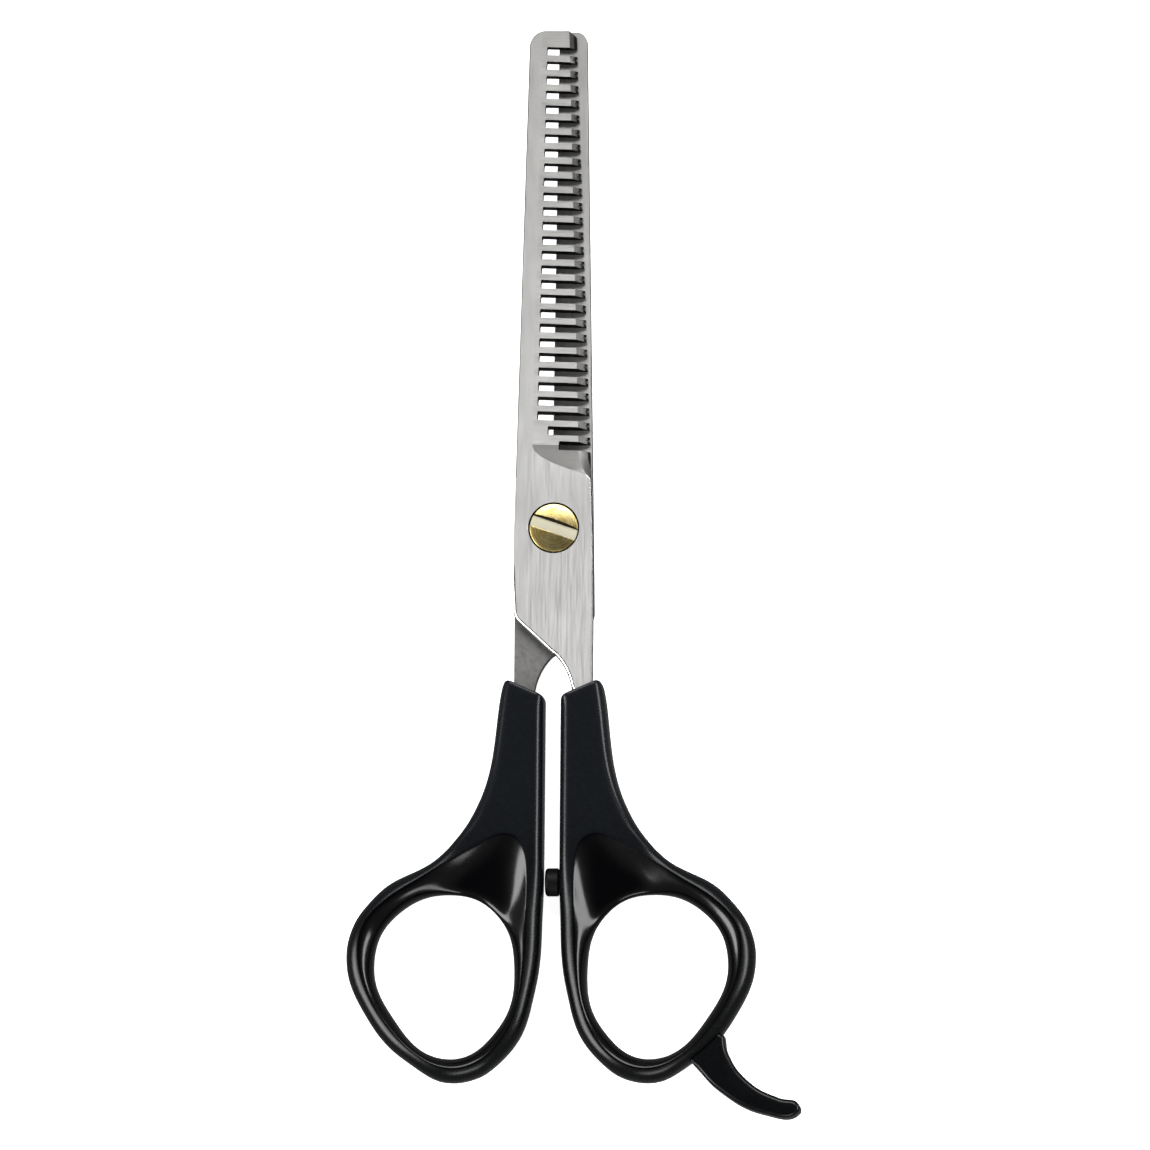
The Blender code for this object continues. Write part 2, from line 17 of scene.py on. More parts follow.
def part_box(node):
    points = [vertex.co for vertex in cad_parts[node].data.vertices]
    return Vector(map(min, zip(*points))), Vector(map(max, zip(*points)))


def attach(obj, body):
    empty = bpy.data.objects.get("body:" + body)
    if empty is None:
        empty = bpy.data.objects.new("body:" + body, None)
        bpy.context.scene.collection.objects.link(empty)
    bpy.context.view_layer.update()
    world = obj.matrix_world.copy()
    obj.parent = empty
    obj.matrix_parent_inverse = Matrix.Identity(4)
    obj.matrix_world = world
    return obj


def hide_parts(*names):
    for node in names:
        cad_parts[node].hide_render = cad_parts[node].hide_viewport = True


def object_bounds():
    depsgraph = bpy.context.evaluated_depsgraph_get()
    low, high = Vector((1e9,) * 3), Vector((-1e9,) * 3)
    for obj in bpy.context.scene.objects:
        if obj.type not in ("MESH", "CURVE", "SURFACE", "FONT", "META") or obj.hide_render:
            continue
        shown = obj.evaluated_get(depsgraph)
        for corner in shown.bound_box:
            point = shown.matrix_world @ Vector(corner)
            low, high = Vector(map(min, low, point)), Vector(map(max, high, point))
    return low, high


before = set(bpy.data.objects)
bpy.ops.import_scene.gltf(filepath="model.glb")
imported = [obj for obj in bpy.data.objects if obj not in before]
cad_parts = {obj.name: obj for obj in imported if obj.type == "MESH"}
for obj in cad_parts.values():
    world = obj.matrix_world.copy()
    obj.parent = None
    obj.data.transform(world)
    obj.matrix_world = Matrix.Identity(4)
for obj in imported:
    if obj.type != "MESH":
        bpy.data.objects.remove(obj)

MM = 0.001
cad_bounds = [list(corner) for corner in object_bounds()]
print("frame box in mm:", [[round(value / MM, 2) for value in corner] for corner in cad_bounds])

# %% [markdown]
# ## Measures
#
# The frame gives the box of each part, so the heights of the blades' faces and the middle of the handles
# come from there. That way a change in the mechanical model carries over to the looks.

# %% Heights and lengths read from the frame
comb_low, comb_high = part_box("comb_blade")
straight_low, straight_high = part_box("straight_blade")
handle_low, handle_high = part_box("finger_handle")
screw_low, screw_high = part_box("pivot_screw")
washer_low, washer_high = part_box("friction_washer")
bumper_low, bumper_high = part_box("bumper")
rest_low, rest_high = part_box("finger_rest")

TIP_Y = comb_high.y
PLATE_HALF_WIDTH = comb_high.x
MIDDLE_Z = (handle_low.z + handle_high.z) / 2
HANDLE_HALF = (handle_high.z - handle_low.z) / 2
TANG_END_Y = comb_low.y
print("comb blade faces at z =", round(comb_low.z / MM, 2), "and", round(comb_high.z / MM, 2), "mm")
print("handles are", round(2 * HANDLE_HALF / MM, 2), "mm thick about z =", round(MIDDLE_Z / MM, 2), "mm")

# %% [markdown]
# ## The camera
#
# The shears are seen almost straight from above, from a little towards the handles and a little to the
# right, so the lower walls of the comb's slots show as thin dark lines. A long lens far away keeps both
# ends in scale. The shears lie half a degree off square in the picture, which a small roll of the camera
# gives.

# %% Camera
VIEW_WIDTH = 179.1 * MM
VIEW_CENTRE = Vector((3.4 * MM, -7.45 * MM, comb_high.z))
CAMERA_DISTANCE = 2.5
TILT_TO_HANDLES = math.radians(8.0)
TILT_TO_RIGHT = math.radians(5.0)
CAMERA_ROLL = math.radians(0.5)

towards_camera = Vector((math.tan(TILT_TO_RIGHT), -math.tan(TILT_TO_HANDLES), 1.0)).normalized()
camera_data = bpy.data.cameras.new("product_camera")
camera_data.sensor_width = 36.0
camera_data.lens = camera_data.sensor_width * CAMERA_DISTANCE / VIEW_WIDTH
camera = bpy.data.objects.new("product_camera", camera_data)
bpy.context.scene.collection.objects.link(camera)
up_in_picture = Vector((-math.sin(CAMERA_ROLL), math.cos(CAMERA_ROLL), 0.0))
right_in_picture = up_in_picture.cross(towards_camera).normalized()
up_in_picture = towards_camera.cross(right_in_picture)
turn = Matrix((right_in_picture, up_in_picture, towards_camera)).transposed()
camera.matrix_world = Matrix.Translation(VIEW_CENTRE + towards_camera * CAMERA_DISTANCE) @ turn.to_4x4()
bpy.context.scene.camera = camera
bpy.context.scene.view_settings.view_transform = "Standard"
print("lens:", round(camera_data.lens, 1), "mm")

# %% [markdown]
# ## Helpers for finishes
#
# Paint charts and screens give colours as sRGB hex values, while a shader works in linear light, so one
# function turns the first into the second. The others each add one node with its settings and links and
# return its output, so that each material below reads as a list of what it is made of.

# %% Colour and node helpers
def linear(hex_colour):
    """An sRGB hex value such as "#d9d8d4" as a linear RGBA colour."""
    channels = [int(hex_colour[i : i + 2], 16) / 255 for i in (1, 3, 5)]
    return (*[c / 12.92 if c <= 0.04045 else ((c + 0.055) / 1.055) ** 2.4 for c in channels], 1.0)


def add_node(material, kind, settings=None, values=None, links=None):
    """Adds a node: settings are its properties, values its sockets' values, links its sockets' sources."""
    node = material.node_tree.nodes.new(kind)
    for name, value in (settings or {}).items():
        setattr(node, name, value)
    for socket, value in (values or {}).items():
        node.inputs[socket].default_value = value
    for socket, source in (links or {}).items():
        material.node_tree.links.new(source, node.inputs[socket])
    return node


def new_material(name, colour, roughness, metallic=0.0):
    material = bpy.data.materials.new(name)
    material.use_nodes = True
    shader = material.node_tree.nodes["Principled BSDF"]
    shader.inputs["Base Color"].default_value = linear(colour)
    shader.inputs["Roughness"].default_value = roughness
    shader.inputs["Metallic"].default_value = metallic
    material.diffuse_color = linear(colour)
    return material, shader


def plug(material, shader, sources):
    """Links each named socket of the shader to its source."""
    for socket, source in sources.items():
        material.node_tree.links.new(source, shader.inputs[socket])


def object_spot(material):
    return add_node(material, "ShaderNodeTexCoord").outputs["Object"]


def axes_of(material, vector):
    return add_node(material, "ShaderNodeSeparateXYZ", links={"Vector": vector}).outputs


def noise(material, spot, size, detail=2.0, roughness=0.5):
    """A value from 0 to 1 that varies over patches of about this size."""
    values = {"Scale": 1.0 / size, "Detail": detail, "Roughness": roughness}
    return add_node(material, "ShaderNodeTexNoise", None, values, {"Vector": spot}).outputs["Fac"]


def remap(material, value, low, high, to_low=0.0, to_high=1.0):
    """Stretches the range from low to high over the range from to_low to to_high."""
    values = {"From Min": low, "From Max": high, "To Min": to_low, "To Max": to_high}
    return add_node(material, "ShaderNodeMapRange", None, values, {"Value": value}).outputs["Result"]


def add_scaled(material, value, factor, base, clamp=False):
    """base + value * factor."""
    settings = {"operation": "MULTIPLY_ADD", "use_clamp": clamp}
    return add_node(material, "ShaderNodeMath", settings, {1: factor}, {0: value, 2: base}).outputs["Value"]


def mix(material, share, first, second):
    """The first colour where share is 0, the second where it is 1."""
    colours = {"A": linear(first), "B": linear(second)}
    node = add_node(material, "ShaderNodeMix", {"data_type": "RGBA"}, colours, {"Factor": share})
    return node.outputs["Result"]


def bumps(material, height, depth, strength=1.0):
    values = {"Strength": strength, "Distance": depth}
    return add_node(material, "ShaderNodeBump", None, values, {"Height": height}).outputs["Normal"]


# %% [markdown]
# ## Ground stainless steel
#
# The blades are stainless steel. The flat faces were ground on a belt that ran along the blade, and the
# toothed zone by a wheel that ran across it. To the eye that gives a satin grey with fine parallel lines,
# slightly uneven in depth, and cloudy patches where the belt pressed harder. A painted shade darkens the
# colour towards the tip and lightens it towards the heel, standing in for how the light falls along the
# blade. Grinding lines are about 0.02 mm apart, too fine to show, so they are drawn 0.15 mm apart. A noise
# that is stretched along the lines makes them, and a soft noise makes the clouds.

# %% Steel materials
LINE_SPACING = 0.15 * MM
CLOUD_SIZE = 6.0 * MM
# Where the painted shade along the blade starts, at the heel, and ends, at the tip.
PAINTED_SHADE_START_Y = -15.0 * MM
PAINTED_SHADE_END_Y = 75.0 * MM
# Painted shade of the steel at the tip and at the heel, standing in for how the light falls.
TIP_SHADE = 0.05  # 0 is the dark colour and 1 the light one
HEEL_SHADE = 0.92
LINE_SHARE = 0.45  # how much of the contrast is lines, and how much is clouds
CLOUD_SHARE = 0.55
ROUGH_SPREAD = 0.06
ALONG = (1.0, 40.0, 1.0)  # how much longer than wide the lines are along each axis
ACROSS = (40.0, 1.0, 1.0)
EVEN = (3.0, 3.0, 3.0)
CALM = 0.5  # how strongly the lines and clouds show
LIVELY = 0.9
ROUGH = 2.5


def ground_steel(name, light, dark, roughness, line_depth, stretch=ALONG, cloud=CLOUD_SIZE, contrast=ROUGH):
    """Steel with grinding lines, clouds and a painted shade: the dark colour at the tip, the light one at
    the heel.
    """
    material, shader = new_material(name, light, roughness, metallic=1.0)
    spot = object_spot(material)
    scales = [1.0 / (LINE_SPACING * times) for times in stretch]
    stretched = add_node(material, "ShaderNodeMapping", None, {"Scale": scales}, {"Vector": spot})
    lines = noise(material, stretched.outputs["Vector"], 1.0, 3.0, 0.6)
    clouds = noise(material, spot, cloud, 4.0, 0.55)
    tip, heel = TIP_SHADE - contrast / 2, HEEL_SHADE - contrast / 2
    # Painted shade: darker towards the tip, lighter towards the heel.
    shade = remap(material, axes_of(material, spot)["Y"], PAINTED_SHADE_END_Y, PAINTED_SHADE_START_Y, tip, heel)
    shade = add_scaled(material, lines, LINE_SHARE * contrast, shade)
    shade = add_scaled(material, clouds, CLOUD_SHARE * contrast, shade, clamp=True)
    sources = {
        "Base Color": mix(material, shade, dark, light),
        "Roughness": remap(material, lines, 0.3, 0.7, roughness - ROUGH_SPREAD, roughness + ROUGH_SPREAD),
        "Normal": bumps(material, lines, line_depth),
    }
    plug(material, shader, sources)
    return material


belt_ground_face = ground_steel("belt_ground_face", "#e7e6e4", "#9b9a98", 0.42, 0.003 * MM, contrast=CALM)
wheel_ground_face = ground_steel(
    "wheel_ground_face", "#e4e3e1", "#989795", 0.42, 0.009 * MM, ACROSS, contrast=LIVELY
)
# The run-outs, tooth bevels and edges, cut walls and side walls below are darker copies of the steel:
# painted shade for faces that lie in shadow or turn away from the light.
painted_shade_wheel_run_out = ground_steel("painted_shade_wheel_run_out", "#969593", "#807f7d", 0.45, 0.006 * MM, ACROSS)
painted_shade_bevel_run_out = ground_steel("painted_shade_bevel_run_out", "#8d8c8a", "#6c6b6a", 0.45, 0.006 * MM)
painted_shade_bevel_steel = ground_steel("painted_shade_bevel_steel", "#7c7c7b", "#4b4b4a", 0.38, 0.010 * MM)
painted_shade_edge_steel = ground_steel("painted_shade_edge_steel", "#2e2e2e", "#161616", 0.45, 0.010 * MM)
painted_shade_cut_wall = ground_steel("painted_shade_cut_wall", "#0d0d0d", "#050505", 0.55, 0.012 * MM, EVEN)
polished_steel_edge = ground_steel("polished_steel_edge", "#f4f3f0", "#e6e5e2", 0.20, 0.001 * MM)
painted_shade_side_wall = ground_steel("painted_shade_side_wall", "#5c5b5a", "#3a3938", 0.45, 0.010 * MM, EVEN)
# A darker, mottled steel for the tang's inner face below the plate.
dark_mottled_tang_steel = ground_steel("dark_mottled_tang_steel", "#8b8a88", "#5e5d5c", 0.48, 0.012 * MM, EVEN, 1.2 * MM)
print("steel finishes from", belt_ground_face.name, "to", dark_mottled_tang_steel.name)

# %% [markdown]
# ## Helpers for modelling
#
# An operator works on whatever is selected, and the frame's parts arrive selected, so everything is
# deselected first. Flat parts start as a filled circle with as many corners as the outline needs, each
# moved to its place, and are then extruded. Tools that cut are plain solids that carry the material they
# leave behind: the Boolean modifier hands a cutter's material to the faces that it cuts, as a real wheel
# leaves its own marks. Some cutters carry a ground finish, and others a darker copy of the steel, a
# painted shade for walls and facets that lie in shadow.

# %% Modelling helpers
def deselect_all():
    if bpy.context.object and bpy.context.object.mode != "OBJECT":
        bpy.ops.object.mode_set(mode="OBJECT")
    bpy.ops.object.select_all(action="DESELECT")


def make_active(obj):
    deselect_all()
    obj.select_set(True)
    bpy.context.view_layer.objects.active = obj


def named(name, material=None):
    """Names the object that was just added and gives it a finish."""
    obj = bpy.context.object
    obj.name = obj.data.name = name
    if material:
        obj.data.materials.append(material)
    return obj


def arc(centre, radius, start, end, steps):
    """Points on a circle, from one angle to another, in degrees."""
    angles = [math.radians(start + (end - start) * i / steps) for i in range(steps + 1)]
    return [(centre[0] + radius * math.cos(a), centre[1] + radius * math.sin(a)) for a in angles]


def block(name, low, high, material):
    """A box between two corners."""
    deselect_all()
    bpy.ops.mesh.primitive_cube_add(size=1.0)
    box = named(name, material)
    for corner in box.data.vertices:
        corner.co = [high[i] if corner.co[i] > 0 else low[i] for i in range(3)]
    return box


def duplicate(obj):
    copy = obj.copy()
    copy.data = obj.data.copy()
    bpy.context.scene.collection.objects.link(copy)
    return copy


def mirrored(outline):
    return [(-point[0], *point[1:]) for point in reversed(outline)]


def turn_faces_out():
    """The last step in edit mode: recalculates the normals and leaves edit mode."""
    bpy.ops.mesh.select_all(action="SELECT")
    bpy.ops.mesh.normals_make_consistent(inside=False)
    bpy.ops.object.mode_set(mode="OBJECT")


def plate(name, outline, low, high, material, side_material=None):
    """A flat blank with this outline, from z = low to z = high. Its sides may have a finish of their own."""
    deselect_all()
    bpy.ops.mesh.primitive_circle_add(vertices=len(outline), radius=1.0 * MM, fill_type="NGON")
    blank = named(name, material)
    for corner, (x, y) in zip(blank.data.vertices, outline):
        corner.co = (x, y, low)
    bpy.ops.object.mode_set(mode="EDIT")
    bpy.ops.mesh.select_all(action="SELECT")
    bpy.ops.mesh.extrude_region_move(TRANSFORM_OT_translate={"value": (0.0, 0.0, high - low)})
    turn_faces_out()
    if side_material:
        refinish(blank, side_material, lambda face: abs(face.normal.z) < 0.5)
    return blank


def refinish(obj, material, wanted):
    """Gives the faces for which wanted(face) is true another finish."""
    obj.data.materials.append(material)
    for face in obj.data.polygons:
        if wanted(face):
            face.material_index = len(obj.data.materials) - 1


def place(obj, matrix):
    """Moves an object by a matrix, applies that to its mesh and turns its faces out again."""
    make_active(obj)
    obj.matrix_world = matrix @ obj.matrix_world
    bpy.ops.object.transform_apply(location=True, rotation=True, scale=True)
    bpy.ops.object.mode_set(mode="EDIT")
    turn_faces_out()
    return obj


def cut(target, tool, operation="DIFFERENCE"):
    """Cuts the tool's shape out of the target, finish and all, and removes the tool."""
    make_active(target)
    modifier = target.modifiers.new(tool.name, "BOOLEAN")
    modifier.operation = operation
    modifier.object = tool
    modifier.solver = "EXACT"
    modifier.material_mode = "TRANSFER"
    bpy.ops.object.modifier_apply(modifier=modifier.name)
    bpy.data.objects.remove(tool)


def bevel_edges(obj, wanted, width, segments=3, material=None):
    """Bevels the edges for which wanted(start, end) is true, as Ctrl B does."""
    make_active(obj)
    slot = -1
    if material:
        obj.data.materials.append(material)
        slot = len(obj.data.materials) - 1
    bpy.ops.object.mode_set(mode="EDIT")
    bpy.ops.mesh.select_mode(type="EDGE")
    bpy.ops.mesh.select_all(action="DESELECT")
    mesh = bmesh.from_edit_mesh(obj.data)
    count = 0
    for edge in mesh.edges:
        if wanted(edge.verts[0].co, edge.verts[1].co):
            edge.select_set(True)
            count += 1
    bmesh.update_edit_mesh(obj.data)
    bpy.ops.mesh.bevel(offset=width, segments=segments, affect="EDGES", clamp_overlap=False, material=slot)
    bpy.ops.object.mode_set(mode="OBJECT")
    return count


def break_edges(obj, width, angle=35.0, segments=2):
    """Takes the sharpness off all the remaining edges with a small bevel.

    The rest is shaded smooth, with normals weighted by area, so that large flat faces stay flat to the eye.
    """
    make_active(obj)
    modifier = obj.modifiers.new("broken_edges", "BEVEL")
    modifier.width = width
    modifier.segments = segments
    modifier.limit_method = "ANGLE"
    modifier.angle_limit = math.radians(angle)
    modifier.use_clamp_overlap = True
    bpy.ops.object.modifier_apply(modifier=modifier.name)
    smooth(obj, angle)
    flat_faces = obj.modifiers.new("flat_faces", "WEIGHTED_NORMAL")
    flat_faces.keep_sharp = True
    bpy.ops.object.modifier_apply(modifier=flat_faces.name)


def smooth(obj, angle=40.0):
    """Shades an object smooth, except where its faces meet more sharply than angle."""
    make_active(obj)
    bpy.ops.object.shade_smooth_by_angle(angle=math.radians(angle))


def triangles(obj):
    obj.data.calc_loop_triangles()
    return len(obj.data.loop_triangles)


def hand_in(obj, body, slot, *nodes):
    """The finished piece rides on its body and stands for its CAD nodes."""
    make_active(obj)
    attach(obj, body)
    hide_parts(*nodes)
    print(obj.name, "has", triangles(obj), "triangles and rides on", body)


# %% [markdown]
# ## The grinding wheel
#
# Both blades are thinned and sharpened by passes of a large wheel. A pass is flat, and where the wheel
# lifts off at the heel it leaves part of its own round, which shows as a curved line across the blade. The
# cutter here is a long block whose lower edge at the heel end is bevelled to the wheel's radius.

# %% Wheel pass
RELIEF_WHEEL = 57.0 * MM
BEVEL_WHEEL = 10.0 * MM
PASS_LENGTH = 110.0 * MM
PASS_WIDTH = 12.0 * MM
PASS_BACK = 3.0 * MM  # how far the block reaches behind its hinge line, above the blade


def wheel_pass(name, line, start_y, grind, material, run_out=None, side=1):
    """A ground face that hinges on line(y), from start_y to the tip, and slopes down towards side.

    grind is the wheel's radius, the tilt of the face and how far it drops for each metre along Y, as the
    blade gets thinner. run_out is the material of the part that the wheel's round leaves at the heel: a
    darker copy of the steel, painted shade for that curved facet.
    """
    radius, tilt, fall = grind
    heel, tip = line(start_y), line(TIP_Y)
    low = (-PASS_BACK, -radius, 0.0)
    wheel = block(name, low, (PASS_WIDTH, PASS_LENGTH, radius + 2.0 * MM), material)

    def lower_heel_edge(start, end):
        return max(start.y, end.y) < -radius + MM and max(start.z, end.z) < MM

    bevel_edges(wheel, lower_heel_edge, radius, segments=96, material=run_out)
    swing = math.atan2(-(tip.x - heel.x), tip.y - heel.y)
    matrix = (
        Matrix.Translation(heel)
        @ Matrix.Rotation(swing, 4, "Z")
        @ Matrix.Diagonal((side, 1.0, side, 1.0))
        @ Matrix.Rotation(-math.atan(fall), 4, "X")
        @ Matrix.Rotation(tilt, 4, "Y")
    )
    return place(wheel, matrix)


# %% [markdown]
# ## The shape that both blades share
#
# Each blade is blanked from sheet. Round the pivot it is a plain plate, and below that a shoulder and an
# arch lead into the tang, which the handle is moulded over. The two blades are mirror images down there.

# %% Shoulder, arch and tang
SHOULDER_Y = -13.0 * MM
TANG_INNER_X = 3.2 * MM
TANG_CORNER = 1.0 * MM
SHOULDER_ARC = ((-3.9 * MM, -13.0 * MM), 2.3 * MM, 188, 229, 8)
ARCH_ARC = ((-6.4 * MM, -26.6 * MM), 9.5 * MM, 45, 8, 12)


def lower_outline():
    """From the left side of the ride plate, round the shoulder, the arch and the tang, to its right side."""
    return [
        (-PLATE_HALF_WIDTH, SHOULDER_Y),
        *arc(*SHOULDER_ARC),
        (0.0, -19.7 * MM),
        *arc(*ARCH_ARC),
        (TANG_INNER_X, -27.0 * MM),
        *arc((TANG_INNER_X + TANG_CORNER, TANG_END_Y + TANG_CORNER), TANG_CORNER, 180, 270, 3),
        *arc((PLATE_HALF_WIDTH - TANG_CORNER, TANG_END_Y + TANG_CORNER), TANG_CORNER, 270, 360, 3),
        (PLATE_HALF_WIDTH, SHOULDER_Y),
    ]


# %% [markdown]
# ## The comb blade
#
# The front blade carries 28 milled slots, which leave 27 teeth and a solid end at the tip. Only the teeth
# cut, so about half of the hair between the blades is left. The slots could be drawn in the outline, but on
# the real blade a cutter mills them out of the blank, and doing the same here gives every wall its colour
# at once: a near-black painted shade, as the walls lie in shadow.

# %% Blank of the comb blade
COMB_SPINE_TIP_X = -4.5 * MM
TOOTH_LINE_TIP_X = 2.75 * MM
TOOTH_LINE_HEEL_X = 6.0 * MM
COMB_TIP_CUT = (1.1 * MM, 0.9 * MM)  # the corner that is cut off at the tip, along X and Y
COMB_TIP_RADIUS = 2.6 * MM
TIP_THINNING = 0.7 * MM
THINNING_START_Y = 8.0 * MM
THINNING_FALL = TIP_THINNING / (TIP_Y - THINNING_START_Y)
RELIEF_TILT = math.radians(1.2)
RELIEF_END_Y = 13.1 * MM
RELIEF_MARGIN = 0.7 * MM  # how far the relief reaches past the slots' inner ends
RELIEF = (RELIEF_WHEEL, RELIEF_TILT, THINNING_FALL)
BEVEL_ANGLE = math.radians(42.0)
BEVEL_END_Y = 12.5 * MM
EDGE_LAND = 0.25 * MM
EDGE_ANGLE = math.radians(54.0)
EDGE_WIDTH = 0.42 * MM
BEVEL = (BEVEL_WHEEL, BEVEL_ANGLE, 0.0)
EDGE = (BEVEL_WHEEL, EDGE_ANGLE, 0.0)


def tooth_line_x(y):
    """x of the line on which all the teeth end."""
    return TOOTH_LINE_TIP_X + (TIP_Y - y) / TIP_Y * (TOOTH_LINE_HEEL_X - TOOTH_LINE_TIP_X)


def comb_outline():
    cut_x, cut_y = COMB_TIP_CUT
    round_centre = (COMB_SPINE_TIP_X + COMB_TIP_RADIUS, TIP_Y - COMB_TIP_RADIUS)
    return [
        *lower_outline(),
        (tooth_line_x(0.0), 0.0),
        (tooth_line_x(TIP_Y - cut_y), TIP_Y - cut_y),
        (TOOTH_LINE_TIP_X - cut_x, TIP_Y),
        *arc(round_centre, COMB_TIP_RADIUS, 90, 180, 14),
        (-PLATE_HALF_WIDTH, 0.0),
    ]


# The sides of both blades are a darker steel: painted shade, as they turn away from the light.
faces_and_sides = (belt_ground_face, painted_shade_side_wall)
comb = plate("comb_blade_ground", comb_outline(), comb_low.z, comb_high.z, *faces_and_sides)
print("comb blank:", len(comb.data.vertices), "corners")

# %% [markdown]
# ### Slots, relief and tooth ends
#
# One slot cutter is modelled and copied 28 times. It is a block with rounded corners at its inner end. Each
# copy lies 2.3 mm from the last and leans 2 degrees towards the handles. The relief wheel then thins the
# toothed zone, a steeper pass bevels the tooth ends, and a row of small V cutters notches them, so that
# hair doesn't slide off.

# %% Mill the slots
SLOT_COUNT = 28
SLOT_PITCH = 2.314 * MM
SLOT_WIDTH = 1.24 * MM
SLOT_CORNER = 0.18 * MM
MID_THICKNESS = (comb_high.z - comb_low.z) / 2
# The draft also lets more of the wall's near-black painted shade show from above.
SLOT_DRAFT = math.radians(9.0)  # of the wall on the tip side of a slot, so that the cutter clears itself
SLOT_LEAN = math.radians(2.0)
FIRST_SLOT_Y = 75.4 * MM
FIRST_ROOT_X = -1.78 * MM
ROOT_STEP_X = -0.039 * MM
HEEL_ROOT_X = (-1.1 * MM, 0.65 * MM)
NOTCH_DEPTH = 0.68 * MM
NOTCH_WIDTH = 0.5 * MM
CUTTER_REACH = 12.0 * MM


def slot_root_x(index):
    if index >= SLOT_COUNT - len(HEEL_ROOT_X):
        return HEEL_ROOT_X[index - SLOT_COUNT]
    return FIRST_ROOT_X + index * ROOT_STEP_X


def row_y(row, x):
    """y of the centre line of a slot at x. Half a row further on is the centre line of a tooth."""
    return FIRST_SLOT_Y - row * SLOT_PITCH - x * math.tan(SLOT_LEAN)


def copies(first, matrices, name):
    """Copies of one cutter, each moved by its own matrix, joined into one object."""
    made = [duplicate(first) for _ in matrices]
    deselect_all()
    for copy, matrix in zip(made, matrices):
        copy.data.transform(matrix)
        copy.select_set(True)
    bpy.context.view_layer.objects.active = made[0]
    bpy.ops.object.join()
    bpy.data.objects.remove(first)
    return named(name)


half_slot, half_reach = SLOT_WIDTH / 2, CUTTER_REACH / 2
# The cutter carries the near-black painted shade to the slots' walls.
slot_cutter = block(
    "slot_cutter", (0.0, -half_slot, -half_reach), (CUTTER_REACH, half_slot, half_reach), painted_shade_cut_wall
)
for corner in slot_cutter.data.vertices:
    if corner.co.y > 0:
        corner.co.y = (SLOT_WIDTH + 2 * (corner.co.z + MID_THICKNESS) * math.tan(SLOT_DRAFT)) / 2


def inner_corner(start, end):
    return max(abs(start.x), abs(end.x)) < 0.01 * MM and abs(start.z - end.z) > MM


bevel_edges(slot_cutter, inner_corner, SLOT_CORNER, segments=4)
lean = Matrix.Rotation(-SLOT_LEAN, 4, "Z")
slots_at = [(slot_root_x(i), row_y(i, slot_root_x(i))) for i in range(SLOT_COUNT)]
slot_places = [Matrix.Translation((x, y, comb_high.z)) @ lean for x, y in slots_at]
cut(comb, copies(slot_cutter, slot_places, "slots"))
print("after milling:", len(comb.data.polygons), "faces")

# %% Grind the comb blade
def face_height(y):
    """Height of the thinned front face of the comb blade."""
    return comb_high.z - max(0.0, y - THINNING_START_Y) * THINNING_FALL


def relief_line(y):
    x = FIRST_ROOT_X - RELIEF_MARGIN + (FIRST_SLOT_Y - y) / SLOT_PITCH * ROOT_STEP_X
    return Vector((x, y, face_height(y)))


def tooth_end_line(y):
    return Vector((tooth_line_x(y), y, comb_low.z + EDGE_LAND))


def taper_block(name, y, z, outward, material):
    """A block that takes a face down evenly towards the tip, from y on."""
    taper = block(name, (-CUTTER_REACH, 0.0, 0.0), (CUTTER_REACH, PASS_LENGTH, CUTTER_REACH), material)
    tip_down = Matrix.Rotation(-math.atan(THINNING_FALL), 4, "X")
    facing = Matrix.Diagonal((1.0, 1.0, outward, 1.0))
    return place(taper, Matrix.Translation((0.0, y, z)) @ facing @ tip_down)


def edge_line(y):
    """Where the last, steeper pass starts: a little way up the bevel from the tooth ends."""
    return tooth_end_line(y) + Vector((-EDGE_WIDTH, 0.0, EDGE_WIDTH * math.tan(BEVEL_ANGLE)))


cut(comb, taper_block("comb_taper", THINNING_START_Y, comb_high.z, 1, belt_ground_face))
# The run-outs, the tooth bevel and the edge pass carry darker copies of the steel: painted shade.
cut(comb, wheel_pass("comb_relief", relief_line, RELIEF_END_Y, RELIEF, wheel_ground_face, painted_shade_wheel_run_out))
cut(comb, wheel_pass("tooth_bevel", tooth_end_line, BEVEL_END_Y, BEVEL, painted_shade_bevel_steel, painted_shade_bevel_run_out))
cut(comb, wheel_pass("edge_pass", edge_line, BEVEL_END_Y, EDGE, painted_shade_edge_steel))

deselect_all()
# The notches' walls get the same near-black painted shade.
bpy.ops.mesh.primitive_cylinder_add(vertices=3, radius=1.0, depth=CUTTER_REACH)
notch_cutter = named("notch_cutter", painted_shade_cut_wall)
for corner in notch_cutter.data.vertices:
    at_point = abs(corner.co.x) < 0.1 and corner.co.y > 0
    corner_at = (-NOTCH_DEPTH, 0.0) if at_point else (NOTCH_DEPTH, math.copysign(NOTCH_WIDTH, corner.co.x))
    corner.co.x, corner.co.y = corner_at


def notch_place(index):
    y = row_y(index + 0.5, tooth_line_x(row_y(index + 0.5, 0.0)))
    return Matrix.Translation((tooth_line_x(y), y, comb_low.z))


notches = copies(notch_cutter, [notch_place(i) for i in range(SLOT_COUNT - 1)], "notches")
cut(comb, place(notches, Matrix.Identity(4)))
print("after grinding:", len(comb.data.polygons), "faces")

# %% [markdown]
# ### The screw's seat
#
# The screw's head sinks into a round recess, so nothing stands up to catch on hair. Its bore is a little
# wider than the screw's shoulder, because this blade turns on it.

# %% Bore and recess
SCREW_HEAD_RADIUS = screw_high.x
RECESS_DEPTH = 1.0 * MM
RECESS_RADIUS = SCREW_HEAD_RADIUS + 0.25 * MM
SHOULDER_BORE = 2.62 * MM


def round_cutter(name, radius, low, high, material, sides=96):
    deselect_all()
    bpy.ops.mesh.primitive_cylinder_add(
        vertices=sides, radius=radius, depth=high - low, location=(0.0, 0.0, (low + high) / 2)
    )
    bpy.ops.object.transform_apply(location=True, rotation=True, scale=True)
    return named(name, material)


recess_floor = comb_high.z - RECESS_DEPTH
